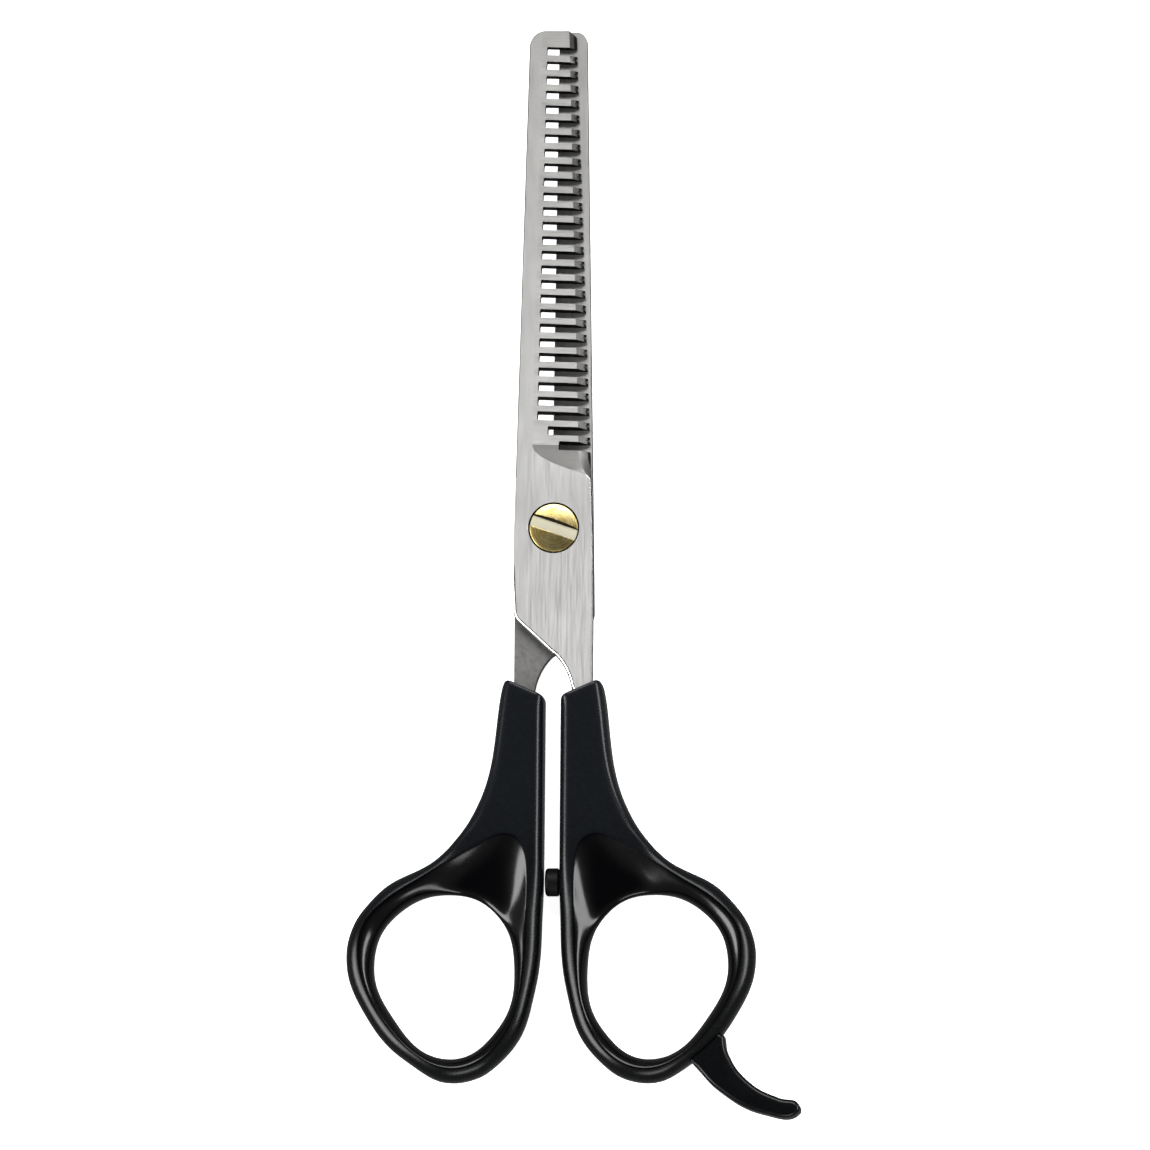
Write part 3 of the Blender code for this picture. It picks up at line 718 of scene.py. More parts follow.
# The recess and the bore get the near-black painted shade of a cut wall.
cut(comb, round_cutter("recess", RECESS_RADIUS, recess_floor, comb_high.z + 5 * MM, painted_shade_cut_wall))
cut(comb, round_cutter("bore", SHOULDER_BORE, comb_low.z - 5 * MM, recess_floor + MM, painted_shade_cut_wall))

# %% [markdown]
# ### Its edges
#
# The lower left edge of the plate, which the fingers pass, is rounded and polished bright. The outer edges
# get a small chamfer, and every other edge is broken by a few hundredths of a millimetre, so that it
# catches light.

# %% Polished shoulder and chamfers
POLISHED_ROUND = 0.5 * MM
OUTER_CHAMFER = 0.12 * MM
BROKEN_EDGE = 0.045 * MM
NEAR = 0.02 * MM
RIGHT_EDGE_X = 5.0 * MM


def on_front_face(start, end):
    return all(abs(point.z - face_height(point.y)) < NEAR for point in (start, end))


def on_shoulder(point):
    return TANG_END_Y + 2 * TANG_CORNER < point.y < SHOULDER_Y + NEAR and point.x < TANG_INNER_X + NEAR


def polished_edge(start, end):
    return on_front_face(start, end) and on_shoulder(start) and on_shoulder(end)


def right_edge(start, end):
    on_right = min(start.x, end.x) > RIGHT_EDGE_X and max(start.y, end.y) < BEVEL_END_Y
    return on_front_face(start, end) and on_right


def spine_edge(start, end):
    above = min(start.y, end.y) > SHOULDER_Y - NEAR
    left = all(point.x < COMB_SPINE_TIP_X + COMB_TIP_RADIUS + 5 * NEAR for point in (start, end))
    on_spine = all(point.x < relief_line(point.y).x - 10 * NEAR for point in (start, end))
    return on_front_face(start, end) and above and left and on_spine and start.y != end.y


rounded = bevel_edges(comb, polished_edge, POLISHED_ROUND, segments=6, material=polished_steel_edge)
chamfered = bevel_edges(comb, right_edge, OUTER_CHAMFER, segments=1, material=polished_steel_edge)
chamfered += bevel_edges(comb, spine_edge, OUTER_CHAMFER, segments=1)
print("polished edges:", rounded, "and chamfered edges:", chamfered)
break_edges(comb, BROKEN_EDGE)
hand_in(comb, "finger_half", "blade_steel", "comb_blade")

# %% [markdown]
# ## The straight blade
#
# The rear blade has a plain cutting edge, which shows through the slots. It is blanked with the same plate
# and tang, mirrored, and gets its relief and its edge on the back, the side away from the comb.

# %% Straight blade
STRAIGHT_SPINE_TIP_X = 4.4 * MM
STRAIGHT_SPINE_HEEL_X = 5.95 * MM
STRAIGHT_TIP_CUT = (0.8 * MM, 0.6 * MM)
STRAIGHT_TIP_RADIUS = 1.7 * MM
PLATE_TOP_Y = 3.0 * MM
EDGE_TIP_X = 0.05 * MM
EDGE_HEEL_X = -0.4 * MM
EDGE_HEEL_Y = 14.0 * MM
HEEL_RADIUS = 5.6 * MM
STRAIGHT_RELIEF_WIDTH = 3.6 * MM


def straight_outline():
    """Drawn as the comb blade is, with the spine on the left, and mirrored at the end."""
    cut_x, cut_y = STRAIGHT_TIP_CUT
    round_centre = (-STRAIGHT_SPINE_TIP_X + STRAIGHT_TIP_RADIUS, TIP_Y - STRAIGHT_TIP_RADIUS)
    edge = [
        (PLATE_HALF_WIDTH, PLATE_TOP_Y),
        *arc((HEEL_RADIUS - EDGE_HEEL_X, EDGE_HEEL_Y), HEEL_RADIUS, 270, 180, 16),
        (-EDGE_TIP_X, TIP_Y - cut_y),
        (-EDGE_TIP_X - cut_x, TIP_Y),
    ]
    spine = [
        *arc(round_centre, STRAIGHT_TIP_RADIUS, 90, 180, 12),
        (-STRAIGHT_SPINE_HEEL_X, 0.0),
    ]
    return mirrored(lower_outline() + edge + spine)


def cutting_edge(y, height):
    share = (y - EDGE_HEEL_Y) / (TIP_Y - EDGE_HEEL_Y)
    return Vector((EDGE_HEEL_X + share * (EDGE_TIP_X - EDGE_HEEL_X), y, height))


def back_relief_line(y):
    height = straight_low.z + max(0.0, y - THINNING_START_Y) * THINNING_FALL
    return cutting_edge(y, height) + Vector((STRAIGHT_RELIEF_WIDTH, 0.0, 0.0))


def edge_bevel_line(y):
    return cutting_edge(y, straight_high.z - EDGE_LAND)


straight_heights = (straight_low.z, straight_high.z)
straight = plate("straight_blade_ground", straight_outline(), *straight_heights, *faces_and_sides)
cut(straight, taper_block("straight_taper", THINNING_START_Y, straight_low.z, -1, belt_ground_face))
# The back relief's run-out and the edge bevel carry darker copies of the steel: painted shade.
back_relief = wheel_pass(
    "back_relief", back_relief_line, RELIEF_END_Y, RELIEF, wheel_ground_face, painted_shade_wheel_run_out, side=-1
)
cut(straight, back_relief)
cut(straight, wheel_pass("edge_bevel", edge_bevel_line, BEVEL_END_Y, BEVEL, painted_shade_bevel_steel, side=-1))
THREAD_BORE = 2.12 * MM
thread_ends = (straight_low.z - MM, straight_high.z + MM)
# The tapped hole gets the near-black painted shade of a cut wall.
cut(straight, round_cutter("tapped_hole", THREAD_BORE, *thread_ends, painted_shade_cut_wall))

# %% [markdown]
# Below the plate the inner face of this blade gets a darker, mottled steel. A bisection splits the face
# there, so that its lower part can have a finish of its own.

# %% Darker steel on the tang
DARK_TANG_START_Y = -12.0 * MM

make_active(straight)
bpy.ops.object.mode_set(mode="EDIT")
bpy.ops.mesh.select_all(action="SELECT")
bpy.ops.mesh.bisect(plane_co=(0.0, DARK_TANG_START_Y, 0.0), plane_no=(0.0, 1.0, 0.0))
bpy.ops.object.mode_set(mode="OBJECT")
refinish(straight, dark_mottled_tang_steel, lambda face: face.normal.z > 0.9 and face.center.y < DARK_TANG_START_Y)
break_edges(straight, BROKEN_EDGE)
hand_in(straight, "thumb_half", "blade_steel", "straight_blade")

# %% [markdown]
# ## The pivot screw
#
# The screw is turned from brass bar: a low domed head with a straight slot, a shoulder that the comb blade
# turns on, and a threaded end in the straight blade. Turning leaves fine rings round the axis. A warm
# yellow metal with rings in its bump and its roughness gives that, with brown tarnish that gathers in
# patches.

# %% Turned brass
RING_SPACING = 0.12 * MM
RING_DEPTH = 0.0015 * MM
TARNISH_SIZE = 1.6 * MM

turned_brass, brass_shader = new_material("turned_brass", "#e3cf8b", 0.30, metallic=1.0)
brass_spot = object_spot(turned_brass)
brass_axes = axes_of(turned_brass, brass_spot)
across_axes = {"X": brass_axes["X"], "Y": brass_axes["Y"]}
across = add_node(turned_brass, "ShaderNodeCombineXYZ", links=across_axes).outputs["Vector"]
from_axis = add_node(turned_brass, "ShaderNodeVectorMath", {"operation": "LENGTH"}, links={0: across})
ring_node = add_node(
    turned_brass,
    "ShaderNodeTexNoise",
    {"noise_dimensions": "1D"},
    {"Scale": 1.0 / RING_SPACING, "Detail": 2.0},
    {"W": from_axis.outputs["Value"]},
)
rings = ring_node.outputs["Fac"]
tarnish = remap(turned_brass, noise(turned_brass, brass_spot, TARNISH_SIZE, 5.0, 0.65), 0.42, 0.72)
brass_sources = {
    "Base Color": mix(turned_brass, tarnish, "#e8d592", "#bd9d50"),
    "Roughness": remap(turned_brass, rings, 0.3, 0.7, 0.26, 0.34),
    "Normal": bumps(turned_brass, rings, RING_DEPTH),
}
plug(turned_brass, brass_shader, brass_sources)

# The slot's floor is a lighter copy of the brass, a painted highlight, and its walls a dark brown copy, a
# painted shade.
painted_highlight_brass_slot = new_material("painted_highlight_brass_slot", "#fff9dc", 0.40, metallic=1.0)[0]
painted_shade_brass_wall = new_material("painted_shade_brass_wall", "#2a2014", 0.5, metallic=1.0)[0]
print("brass finishes:", turned_brass.name, "and", painted_highlight_brass_slot.name)

# %% [markdown]
# A turned part is easiest to make the way it is made: half of its section is drawn beside the axis and
# spun.

# %% Spin helper
def turned(name, profile, material, steps=96):
    """A profile of (radius, height) points from the axis back to the axis, spun about Z."""
    deselect_all()
    bpy.ops.mesh.primitive_circle_add(vertices=len(profile), radius=1.0 * MM, fill_type="NOTHING")
    solid = named(name, material)
    for corner, (radius, height) in zip(solid.data.vertices, profile):
        corner.co = (radius, 0.0, height)
    bpy.ops.object.mode_set(mode="EDIT")
    bpy.ops.mesh.select_mode(type="EDGE")
    bpy.ops.mesh.select_all(action="DESELECT")
    mesh = bmesh.from_edit_mesh(solid.data)
    for edge in [e for e in mesh.edges if max(v.co.x for v in e.verts) < 0.001 * MM]:
        mesh.edges.remove(edge)
    bmesh.update_edit_mesh(solid.data)
    bpy.ops.mesh.select_all(action="SELECT")
    bpy.ops.mesh.spin(steps=steps, angle=math.tau, center=(0.0, 0.0, 0.0), axis=(0.0, 0.0, 1.0))
    bpy.ops.mesh.select_all(action="SELECT")
    bpy.ops.mesh.remove_doubles(threshold=0.002 * MM)
    turn_faces_out()
    return solid


# %% Pivot screw
SCREW_DOME = 0.4 * MM
HEAD_RIM = 0.12 * MM  # radius of the rim's rounded edge
SCREW_SLOT_WIDTH = 1.7 * MM
SCREW_SLOT_DEPTH = 0.75 * MM
SCREW_SLOT_ANGLE = math.radians(-19.0)
# The lean lets more of the upper wall's painted shade show from above.
SCREW_SLOT_LEAN = 0.55  # how far the slot's upper wall leans outwards, for each metre of depth
SHOULDER_RADIUS = 2.5 * MM
HEAD_GAP = 0.1 * MM  # between the washer and the head
SCREW_BROKEN_EDGE = 0.03 * MM
THREAD_RADIUS = 2.0 * MM
THREAD_PITCH = 0.35 * MM
THREAD_DEPTH = 0.2 * MM
THREAD_CHAMFER = 0.25 * MM
DOME_STEPS = 12

under_head = washer_high.z + HEAD_GAP
rim_z = screw_high.z - SCREW_DOME
thread_top = (straight_high.z + comb_low.z) / 2
dome_radius = (SCREW_HEAD_RADIUS**2 + SCREW_DOME**2) / (2 * SCREW_DOME)


def dome_height(radius):
    return screw_high.z - dome_radius + math.sqrt(dome_radius**2 - radius**2)


def thread_profile():
    """Ridges and roots of the thread, from the end of the screw up."""
    count = int((thread_top - screw_low.z) / THREAD_PITCH) - 1
    first = screw_low.z + THREAD_CHAMFER
    points = []
    for turn_number in range(count):
        points.append((THREAD_RADIUS - THREAD_DEPTH, first + turn_number * THREAD_PITCH))
        points.append((THREAD_RADIUS, first + (turn_number + 0.5) * THREAD_PITCH))
    return points


dome_radii = [SCREW_HEAD_RADIUS * i / DOME_STEPS for i in range(DOME_STEPS - 1, 0, -1)]
profile = [
    (0.0, screw_low.z),
    (THREAD_RADIUS - THREAD_CHAMFER, screw_low.z),
    *thread_profile(),
    (THREAD_RADIUS - THREAD_DEPTH, thread_top),
    (SHOULDER_RADIUS, thread_top),
    (SHOULDER_RADIUS, under_head),
    (SCREW_HEAD_RADIUS, under_head),
    *arc((SCREW_HEAD_RADIUS - HEAD_RIM, rim_z - HEAD_RIM), HEAD_RIM, 0, 80, 5),
    *[(radius, dome_height(radius)) for radius in dome_radii],
    (0.0, screw_high.z),
]
screw = turned("pivot_screw_turned", profile, turned_brass)
slot_low = Vector((-CUTTER_REACH / 2, -SCREW_SLOT_WIDTH / 2, 0.0))
slot_high = Vector((CUTTER_REACH / 2, SCREW_SLOT_WIDTH / 2, CUTTER_REACH))
slot_saw = block("slot_saw", slot_low, slot_high, painted_highlight_brass_slot)
for corner in slot_saw.data.vertices:
    if corner.co.y > 0 and corner.co.z > 0:
        corner.co.y += SCREW_SLOT_LEAN * CUTTER_REACH
slot_floor = screw_high.z - SCREW_SLOT_DEPTH
place(slot_saw, Matrix.Translation((0.0, 0.0, slot_floor)) @ Matrix.Rotation(SCREW_SLOT_ANGLE, 4, "Z"))
cut(screw, slot_saw)
# The slot's walls get the dark painted shade; its floor keeps the painted highlight.
refinish(screw, painted_shade_brass_wall, lambda face: face.material_index == 1 and face.normal.z < 0.9)
break_edges(screw, SCREW_BROKEN_EDGE, angle=40.0)
hand_in(screw, "tension_screw", "screw_brass", "pivot_screw")

# %% [markdown]
# ## The friction washer
#
# A thin black nylon washer lies under the screw's head and keeps its tension even. Only its rim shows, as
# the dark ring round the head.

# %% Washer
NYLON_GRAIN = 0.15 * MM
NYLON_GRAIN_DEPTH = 0.01 * MM
WASHER_BROKEN_EDGE = 0.05 * MM

black_nylon, nylon_shader = new_material("black_nylon", "#141414", 0.5)
grain = noise(black_nylon, object_spot(black_nylon), NYLON_GRAIN)
plug(black_nylon, nylon_shader, {"Normal": bumps(black_nylon, grain, NYLON_GRAIN_DEPTH, strength=0.5)})

washer_size = (washer_high.x, washer_low.z, washer_high.z)
washer = round_cutter("friction_washer_moulded", *washer_size, black_nylon)
cut(washer, round_cutter("washer_bore", SHOULDER_BORE, washer_low.z - MM, washer_high.z + MM, black_nylon))
break_edges(washer, WASHER_BROKEN_EDGE)
hand_in(washer, "finger_half", "washer_nylon", "friction_washer")

# %% [markdown]
# ## Moulded plastic
#
# The handles are injection moulded ABS in black, out of a polished mould. That gives clear, slightly soft
# reflections, a hint of blue in the black, and very shallow waves where the plastic shrank. Small dust and
# wear marks make some spots a little rougher. The shanks are painted a shade greyer and bluer than the
# loops, a painted sheen that stands in for the soft light their flat faces reflect. The dish and the inside
# of the crest are polished, and the outside of the handle is satin.

# %% Plastic and rubber
SHRINK_WAVE = 5.0 * MM
WAVE_DEPTH = 0.02 * MM
WEAR_SIZE = 0.8 * MM
# Between these heights the painted sheen on the shank fades out towards the loop.
SHANK_SHEEN_START_Y = -42.0 * MM
SHANK_SHEEN_END_Y = -64.0 * MM


def moulded_plastic(name, colour, roughness, specular, shank_sheen_colour=None):
    material, shader = new_material(name, colour, roughness)
    shader.inputs["Specular IOR Level"].default_value = specular
    spot = object_spot(material)
    if shank_sheen_colour:
        # Painted sheen: greyer and bluer up the shank, for the soft light its flat faces reflect.
        up_the_shank = remap(material, axes_of(material, spot)["Y"], SHANK_SHEEN_END_Y, SHANK_SHEEN_START_Y)
        plug(material, shader, {"Base Color": mix(material, up_the_shank, colour, shank_sheen_colour)})
    waves = noise(material, spot, SHRINK_WAVE, 1.0)
    wear = noise(material, spot, WEAR_SIZE, 6.0, 0.7)
    sources = {
        "Roughness": remap(material, wear, 0.35, 0.75, roughness - 0.02, roughness + 0.03),
        "Normal": bumps(material, waves, WAVE_DEPTH, strength=0.6),
    }
    plug(material, shader, sources)
    return material


polished_black_abs = moulded_plastic("polished_black_abs", "#020203", 0.17, 0.36)
# The satin plastic carries the painted sheen on the shank.
satin_black_abs = moulded_plastic("satin_black_abs", "#030405", 0.27, 0.32, "#0b0e12")
black_rubber = moulded_plastic("black_rubber", "#030303", 0.50, 0.16)
print("plastics:", polished_black_abs.name, black_rubber.name)

# %% [markdown]
# ## The handles
#
# Each handle is one moulding: a shank round the tang that widens into a loop. A crest runs all the way
# round the loop. Outside it the ring rounds over, and inside it a band slopes down into the hole. Above the
# hole that band widens into a scooped dish for the finger.
#
# Such a shape is drawn as a cage of quads under a Subdivision Surface modifier. First come the curves that
# the cage follows: the outline, the hole and the crest. Each has only the points that its shape needs.

# %% Curves of the finger handle, in millimetres
OUTLINE = [
    (7.3, -23.7), (8.05, -25.6), (8.75, -31.5), (10.95, -42.0), (17.0, -51.1), (27.2, -57.4), (31.85, -66.0),
    (28.35, -77.1), (21.6, -84.0), (14.8, -86.8), (6.2, -81.8), (2.5, -72.4), (1.35, -59.0), (1.25, -50.0),
    (1.25, -26.4),
]
COLLAR_INNER = Vector((1.25, -26.4))
COLLAR_OUTER = Vector((7.3, -23.7))
HOLE = [
    (15.6, -57.4), (24.1, -60.5), (27.55, -67.4), (25.2, -75.6), (16.0, -83.1), (8.1, -78.3), (5.7, -69.2),
    (8.6, -60.5),
]
CREST = [
    (6.9, -47.8), (10.4, -49.3), (14.8, -51.8), (20.3, -55.0), (25.6, -58.3), (29.2, -62.2), (29.9, -67.2),
    (28.4, -73.0), (25.2, -78.2), (20.6, -82.8), (16.0, -84.9), (11.4, -84.1), (7.4, -80.4), (5.1, -75.3),
    (4.1, -69.5), (3.7, -63.0), (3.6, -57.5), (3.7, -52.4), (4.6, -49.0),
]
HUB = Vector((16.0, -69.0))
CURVE_STEPS = 24
CURVE_FULLNESS = 1.17  # as full as Blender's automatic curve handles


def smooth_loop(points):
    """A closed curve that passes through all the points, as a dense list."""
    dense = []
    for i in range(len(points)):
        before, start, end, after = (Vector(points[(i + k) % len(points)]) for k in (-1, 0, 1, 2))
        along = end - start
        leave = ((start - before).normalized() + along.normalized()).normalized() * along.length
        arrive = (along.normalized() + (after - end).normalized()).normalized() * along.length
        for t in (k / CURVE_STEPS for k in range(CURVE_STEPS)):
            ends = start * (1 + 2 * t) * (1 - t) ** 2 + end * t * t * (3 - 2 * t)
            swing = leave * t * (1 - t) ** 2 - arrive * t * t * (1 - t)
            dense.append(ends + swing * CURVE_FULLNESS)
    return dense


def evenly(curve, count):
    """count points at even distances round a closed curve."""
    total = sum((curve[i - 1] - curve[i]).length for i in range(len(curve)))
    found = []
    travelled = 0.0
    for i in range(len(curve)):
        start, end = curve[i], curve[(i + 1) % len(curve)]
        step = (end - start).length
        while len(found) < count and len(found) * total / count < travelled + step:
            found.append(start.lerp(end, (len(found) * total / count - travelled) / step))
        travelled += step
    return found


def ray_meets(curve, point):
    """Where the line from the hub through point meets a closed curve round the hub."""
    aim = (point - HUB).normalized()
    side = Vector((-aim.y, aim.x))
    for i in range(len(curve)):
        start, end = curve[i - 1] - HUB, curve[i] - HUB
        a, b = start.dot(side), end.dot(side)
        if a * b <= 0 < (start + end).dot(aim) and a != b:
            return HUB + start.lerp(end, a / (a - b))


def pushed_out(points):
    """Corners moved out by as much as the subdivision will pull them in."""
    count = len(points)
    return [points[i] + (2 * points[i] - points[i - 1] - points[(i + 1) % count]) / 6 for i in range(count)]


def blend(start, end, share):
    return start + (end - start) * share


# %% [markdown]
# ### The stations
#
# The cage has 44 stations round the loop. The first six face the shank. At each one a column of corners
# runs from the hole over the crest to the outside, so the rows of the cage are loops like the rings of an
# onion.

# %% Stations round the loop
STATIONS = 44
SHANK_STATIONS = 6
STATION_SHIFT = 2  # stations from the shank's first one to the top of the crest
SHOULDER_SHARE = 0.62  # where the shoulder lies, from the crest to the outline
RING_BAND = 2.8  # bands up to this wide are convex, and those DISH_GROWTH wider are a full dish
DISH_GROWTH = 3.4
SHANK_FADE = 4  # stations over which the shank's height fades into the ring's

outline_curve = smooth_loop(OUTLINE)
crest = evenly(smooth_loop(CREST), STATIONS)
crest = crest[-STATION_SHIFT:] + crest[:-STATION_SHIFT]
hole = [ray_meets(smooth_loop(HOLE), point) for point in crest]
border = [min(outline_curve, key=lambda spot: (spot - point).length) for point in crest]
band_widths = [(crest[i] - hole[i]).length for i in range(STATIONS)]
dish = [min(1.0, max(0.0, (width - RING_BAND) / DISH_GROWTH)) for width in band_widths]


def near_shank(station):
    """1 where a station faces the shank, falling to 0 a few stations further round."""
    beyond = min(max(0, station - SHANK_STATIONS + 1), STATIONS - station)
    return max(0.0, 1.0 - beyond / SHANK_FADE)


print("width of the dish in mm:", round(max(band_widths), 1))

# %% [markdown]
# ### The shank's rows
#
# The shank continues the first six stations. Its first row curves round the top of the dish. The rows above
# it straighten out step by step, up to the slanted collar where the blade comes out. Two rows lie close
# together at the collar, because corners that are close together keep an edge crisp under subdivision.

# %% Shank
SHANK_ROOT = [(2.3, -51.3), (3.1, -47.6), (6.3, -45.5), (10.1, -46.5), (12.9, -48.2), (15.1, -50.2)]
SHANK_SHARES = [0.0, 0.12, 0.24, 0.38, 0.53, 0.68, 0.83, 0.955, 0.99]
LEFT_ROOT = Vector((1.25, -51.3))
SIDE_INSET = 1.0
LAST_ROW = len(SHANK_SHARES) - 1

right_side = [spot for spot in outline_curve[: 5 * CURVE_STEPS] if spot.y > SHANK_ROOT[-1][1]][::-1]


def part_way(path, share):
    """The point that lies share of the way along a path."""
    lengths = [(end - start).length for start, end in zip(path, path[1:])]
    left_over = share * sum(lengths)
    for start, end, length in zip(path, path[1:], lengths):
        if left_over <= length:
            return blend(start, end, left_over / length)
        left_over -= length
    return path[-1]


def sides(share):
    """The points of the left and right side of the shank, share of the way up."""
    return blend(LEFT_ROOT, COLLAR_INNER, share), part_way(right_side, share)


def shank_point(row, station):
    """A corner on the face of the shank. Row 0 is its root."""
    across = station / (SHANK_STATIONS - 1)
    root = Vector(SHANK_ROOT[station])
    straight_root = blend(Vector(SHANK_ROOT[0]), Vector(SHANK_ROOT[-1]), across)
    if row == 0:
        return root
    left, right = sides(SHANK_SHARES[row])
    inwards = (right - left).normalized() * SIDE_INSET
    return blend(left + inwards, right - inwards, across) + (root - straight_root) * 0.5**row


print("shank rows:", len(SHANK_SHARES), "with", len(right_side), "points on its outer side")

# %% [markdown]
# ### Heights
#
# Round the ring the band is convex, like the side of a tube. In the dish it is concave: a floor that rises
# gently from the hole, then a wall up to the crest. Each station mixes the two by the width of its band.

# %% Rows of the cage
WALL_HEIGHT = 0.8
BAND_LOW = 1.3
BAND_SHARES = (0.10, 0.40, 0.72)
RING_CREST = HANDLE_HALF / MM - 0.15
FACE_HEIGHT = HANDLE_HALF / MM
RING_SHOULDER = 2.95
CONVEX_POWER = 0.8  # how full the ring's round is
CONCAVE_POWER = 2.0  # how late the dish's wall rises
CREST_ROW = 2 + len(BAND_SHARES)
SHOULDER_ROW = CREST_ROW + 1
SIDE_ROW = 50  # added to a row's number for each step down the side

hole_wall = pushed_out(hole)


def band_point(station, share):
    spot = blend(hole[station], crest[station], share)
    top = blend(RING_CREST, FACE_HEIGHT, near_shank(station))
    convex = math.sin(share * math.pi / 2) ** CONVEX_POWER
    concave = share**CONCAVE_POWER
    height = blend(BAND_LOW, top, blend(convex, concave, dish[station]))
    return (*spot, height)


def cage_point(row, station):
    """The place of a corner of the cage, from its row and station."""
    if row < 2:
        return (*hole_wall[station], row * WALL_HEIGHT)
    if row < CREST_ROW:
        return band_point(station, BAND_SHARES[row - 2])
    if row == CREST_ROW:
        return band_point(station, 1.0)
    if row == SHOULDER_ROW and station >= SHANK_STATIONS:
        spot = blend(crest[station], border[station], SHOULDER_SHARE)
        return (*spot, blend(RING_SHOULDER, FACE_HEIGHT, near_shank(station)))
    return (*shank_point(row - SHOULDER_ROW, station), FACE_HEIGHT)


def border_keys():
    """The border as (row, station), once round: the ring, then up, across and down the shank."""
    ring = [(SHOULDER_ROW, station) for station in range(SHANK_STATIONS, STATIONS)]
    top = SHOULDER_ROW + LAST_ROW
    up = [(row, 0) for row in range(SHOULDER_ROW, top + 1)]
    across = [(top, station) for station in range(1, SHANK_STATIONS - 1)]
    down = [(row, SHANK_STATIONS - 1) for row in range(top, SHOULDER_ROW - 1, -1)]
    return ring + up + across + down


def side_spot(row, station):
    """The point of the outline below a corner of the border."""
    if station >= SHANK_STATIONS:
        return border[station]
    if row == SHOULDER_ROW + LAST_ROW:
        return blend(COLLAR_INNER, COLLAR_OUTER, station / (SHANK_STATIONS - 1))
    return sides(SHANK_SHARES[row - SHOULDER_ROW])[0 if station == 0 else 1]


keys = border_keys()
spots = [side_spot(*key) for key in keys]
pushed = pushed_out(spots)
collar_rows = range(SHOULDER_ROW + LAST_ROW - 1, SHOULDER_ROW + LAST_ROW + 1)
side_spots = {}
for key, spot, push in zip(keys, spots, pushed):
    side_spots[key] = spot if key[0] in collar_rows else push
print("border of the cage:", len(keys), "corners")

# %% [markdown]
# ### Extruding the cage
#
# The cage starts as a circle with one corner for each station. Every extrusion adds a row. Each corner
# carries its row and station as two whole numbers, which the extrusion copies, so the new corners know
# where they belong.

# %% Build the cage
def extrude_row(cage, points, rows_up=1):
    """Extrudes the selected edges by a row and moves each new corner to points(row, station)."""
    bpy.ops.mesh.extrude_edges_move(TRANSFORM_OT_translate={"value": (0.0, 0.0, 0.0)})
    mesh = bmesh.from_edit_mesh(cage.data)
    row, station = mesh.verts.layers.int["row"], mesh.verts.layers.int["station"]
    for corner in mesh.verts:
        if corner.select:
            corner[row] += rows_up
            corner.co = Vector(points(corner[row], corner[station])) * MM
    bmesh.update_edit_mesh(cage.data)


def select_edges(cage, wanted):
    """Selects the edges for which wanted is true of the (row, station) of both ends."""
    bpy.ops.mesh.select_all(action="DESELECT")
    mesh = bmesh.from_edit_mesh(cage.data)
    row, station = mesh.verts.layers.int["row"], mesh.verts.layers.int["station"]
    for edge in mesh.edges:
        ends = [(corner[row], corner[station]) for corner in edge.verts]
        if wanted(*ends):
            edge.select_set(True)
    bmesh.update_edit_mesh(cage.data)


deselect_all()
bpy.ops.mesh.primitive_circle_add(vertices=STATIONS, radius=1.0 * MM, fill_type="NOTHING")
cage = named("finger_handle_moulded", satin_black_abs)
cage.data.materials.append(polished_black_abs)
cage.data.attributes.new("row", "INT", "POINT")
numbers = cage.data.attributes.new("station", "INT", "POINT")
for index, corner in enumerate(cage.data.vertices):
    numbers.data[index].value = index
    corner.co = Vector(cage_point(0, index)) * MM
bpy.ops.object.mode_set(mode="EDIT")
bpy.ops.mesh.select_mode(type="EDGE")
bpy.ops.mesh.select_all(action="SELECT")
for _ in range(SHOULDER_ROW):
    extrude_row(cage, cage_point)
select_edges(cage, lambda a, b: a[0] == b[0] == SHOULDER_ROW and max(a[1], b[1]) < SHANK_STATIONS)
for _ in range(LAST_ROW):
    extrude_row(cage, cage_point)


def on_border(a, b):
    return a in side_spots and b in side_spots and side_by_side(keys.index(a), keys.index(b))


def side_by_side(i, j):
    return abs(i - j) in (1, len(keys) - 1)


SIDE_HEIGHTS = (1.55, 0.0)  # of the two rows that go down the side of the ring
SHANK_SIDE_RISE = 1.0
COLLAR_DROP = 0.35


def side_point(row, station):
    """A corner below the border. Rows count on from the border's own, in steps of SIDE_ROW."""
    step, own_row = divmod(row, SIDE_ROW)
    height = SIDE_HEIGHTS[step - 1]
    if step == 1:
        height += SHANK_SIDE_RISE * near_shank(station)
        if own_row == SHOULDER_ROW + LAST_ROW:
            height = FACE_HEIGHT - COLLAR_DROP
    return (*side_spots[(own_row, station)], height)


select_edges(cage, on_border)
for _ in SIDE_HEIGHTS:
    extrude_row(cage, side_point, SIDE_ROW)
turn_faces_out()
print("cage:", len(cage.data.vertices), "corners and", len(cage.data.polygons), "faces")

# %% [markdown]
# ### From cage to handle
#
# The crest is creased, more so round the dish, which keeps it crisp while everything beside it flows. The
# Mirror modifier adds the back half, and three steps of subdivision give the smooth skin.

# %% Crease, mirror and subdivide
CREST_CREASE = 0.35
DISH_CREASE = 0.45

creases = cage.data.attributes.new("crease_edge", "FLOAT", "EDGE")
rows, numbers = cage.data.attributes["row"].data, cage.data.attributes["station"].data
for edge in cage.data.edges:
    if all(rows[corner].value == CREST_ROW for corner in edge.vertices):
        depth = min(dish[numbers[corner].value] for corner in edge.vertices)
        creases.data[edge.index].value = CREST_CREASE + DISH_CREASE * depth
for face in cage.data.polygons:
    if all(rows[corner].value <= CREST_ROW for corner in face.vertices):
        face.material_index = 1
make_active(cage)
mirror = cage.modifiers.new("back_half", "MIRROR")
mirror.use_axis = (False, False, True)
mirror.use_clip = True
mirror.merge_threshold = 0.01 * MM
bpy.ops.object.modifier_apply(modifier=mirror.name)
skin = cage.modifiers.new("skin", "SUBSURF")
skin.levels = skin.render_levels = 3
bpy.ops.object.modifier_apply(modifier=skin.name)
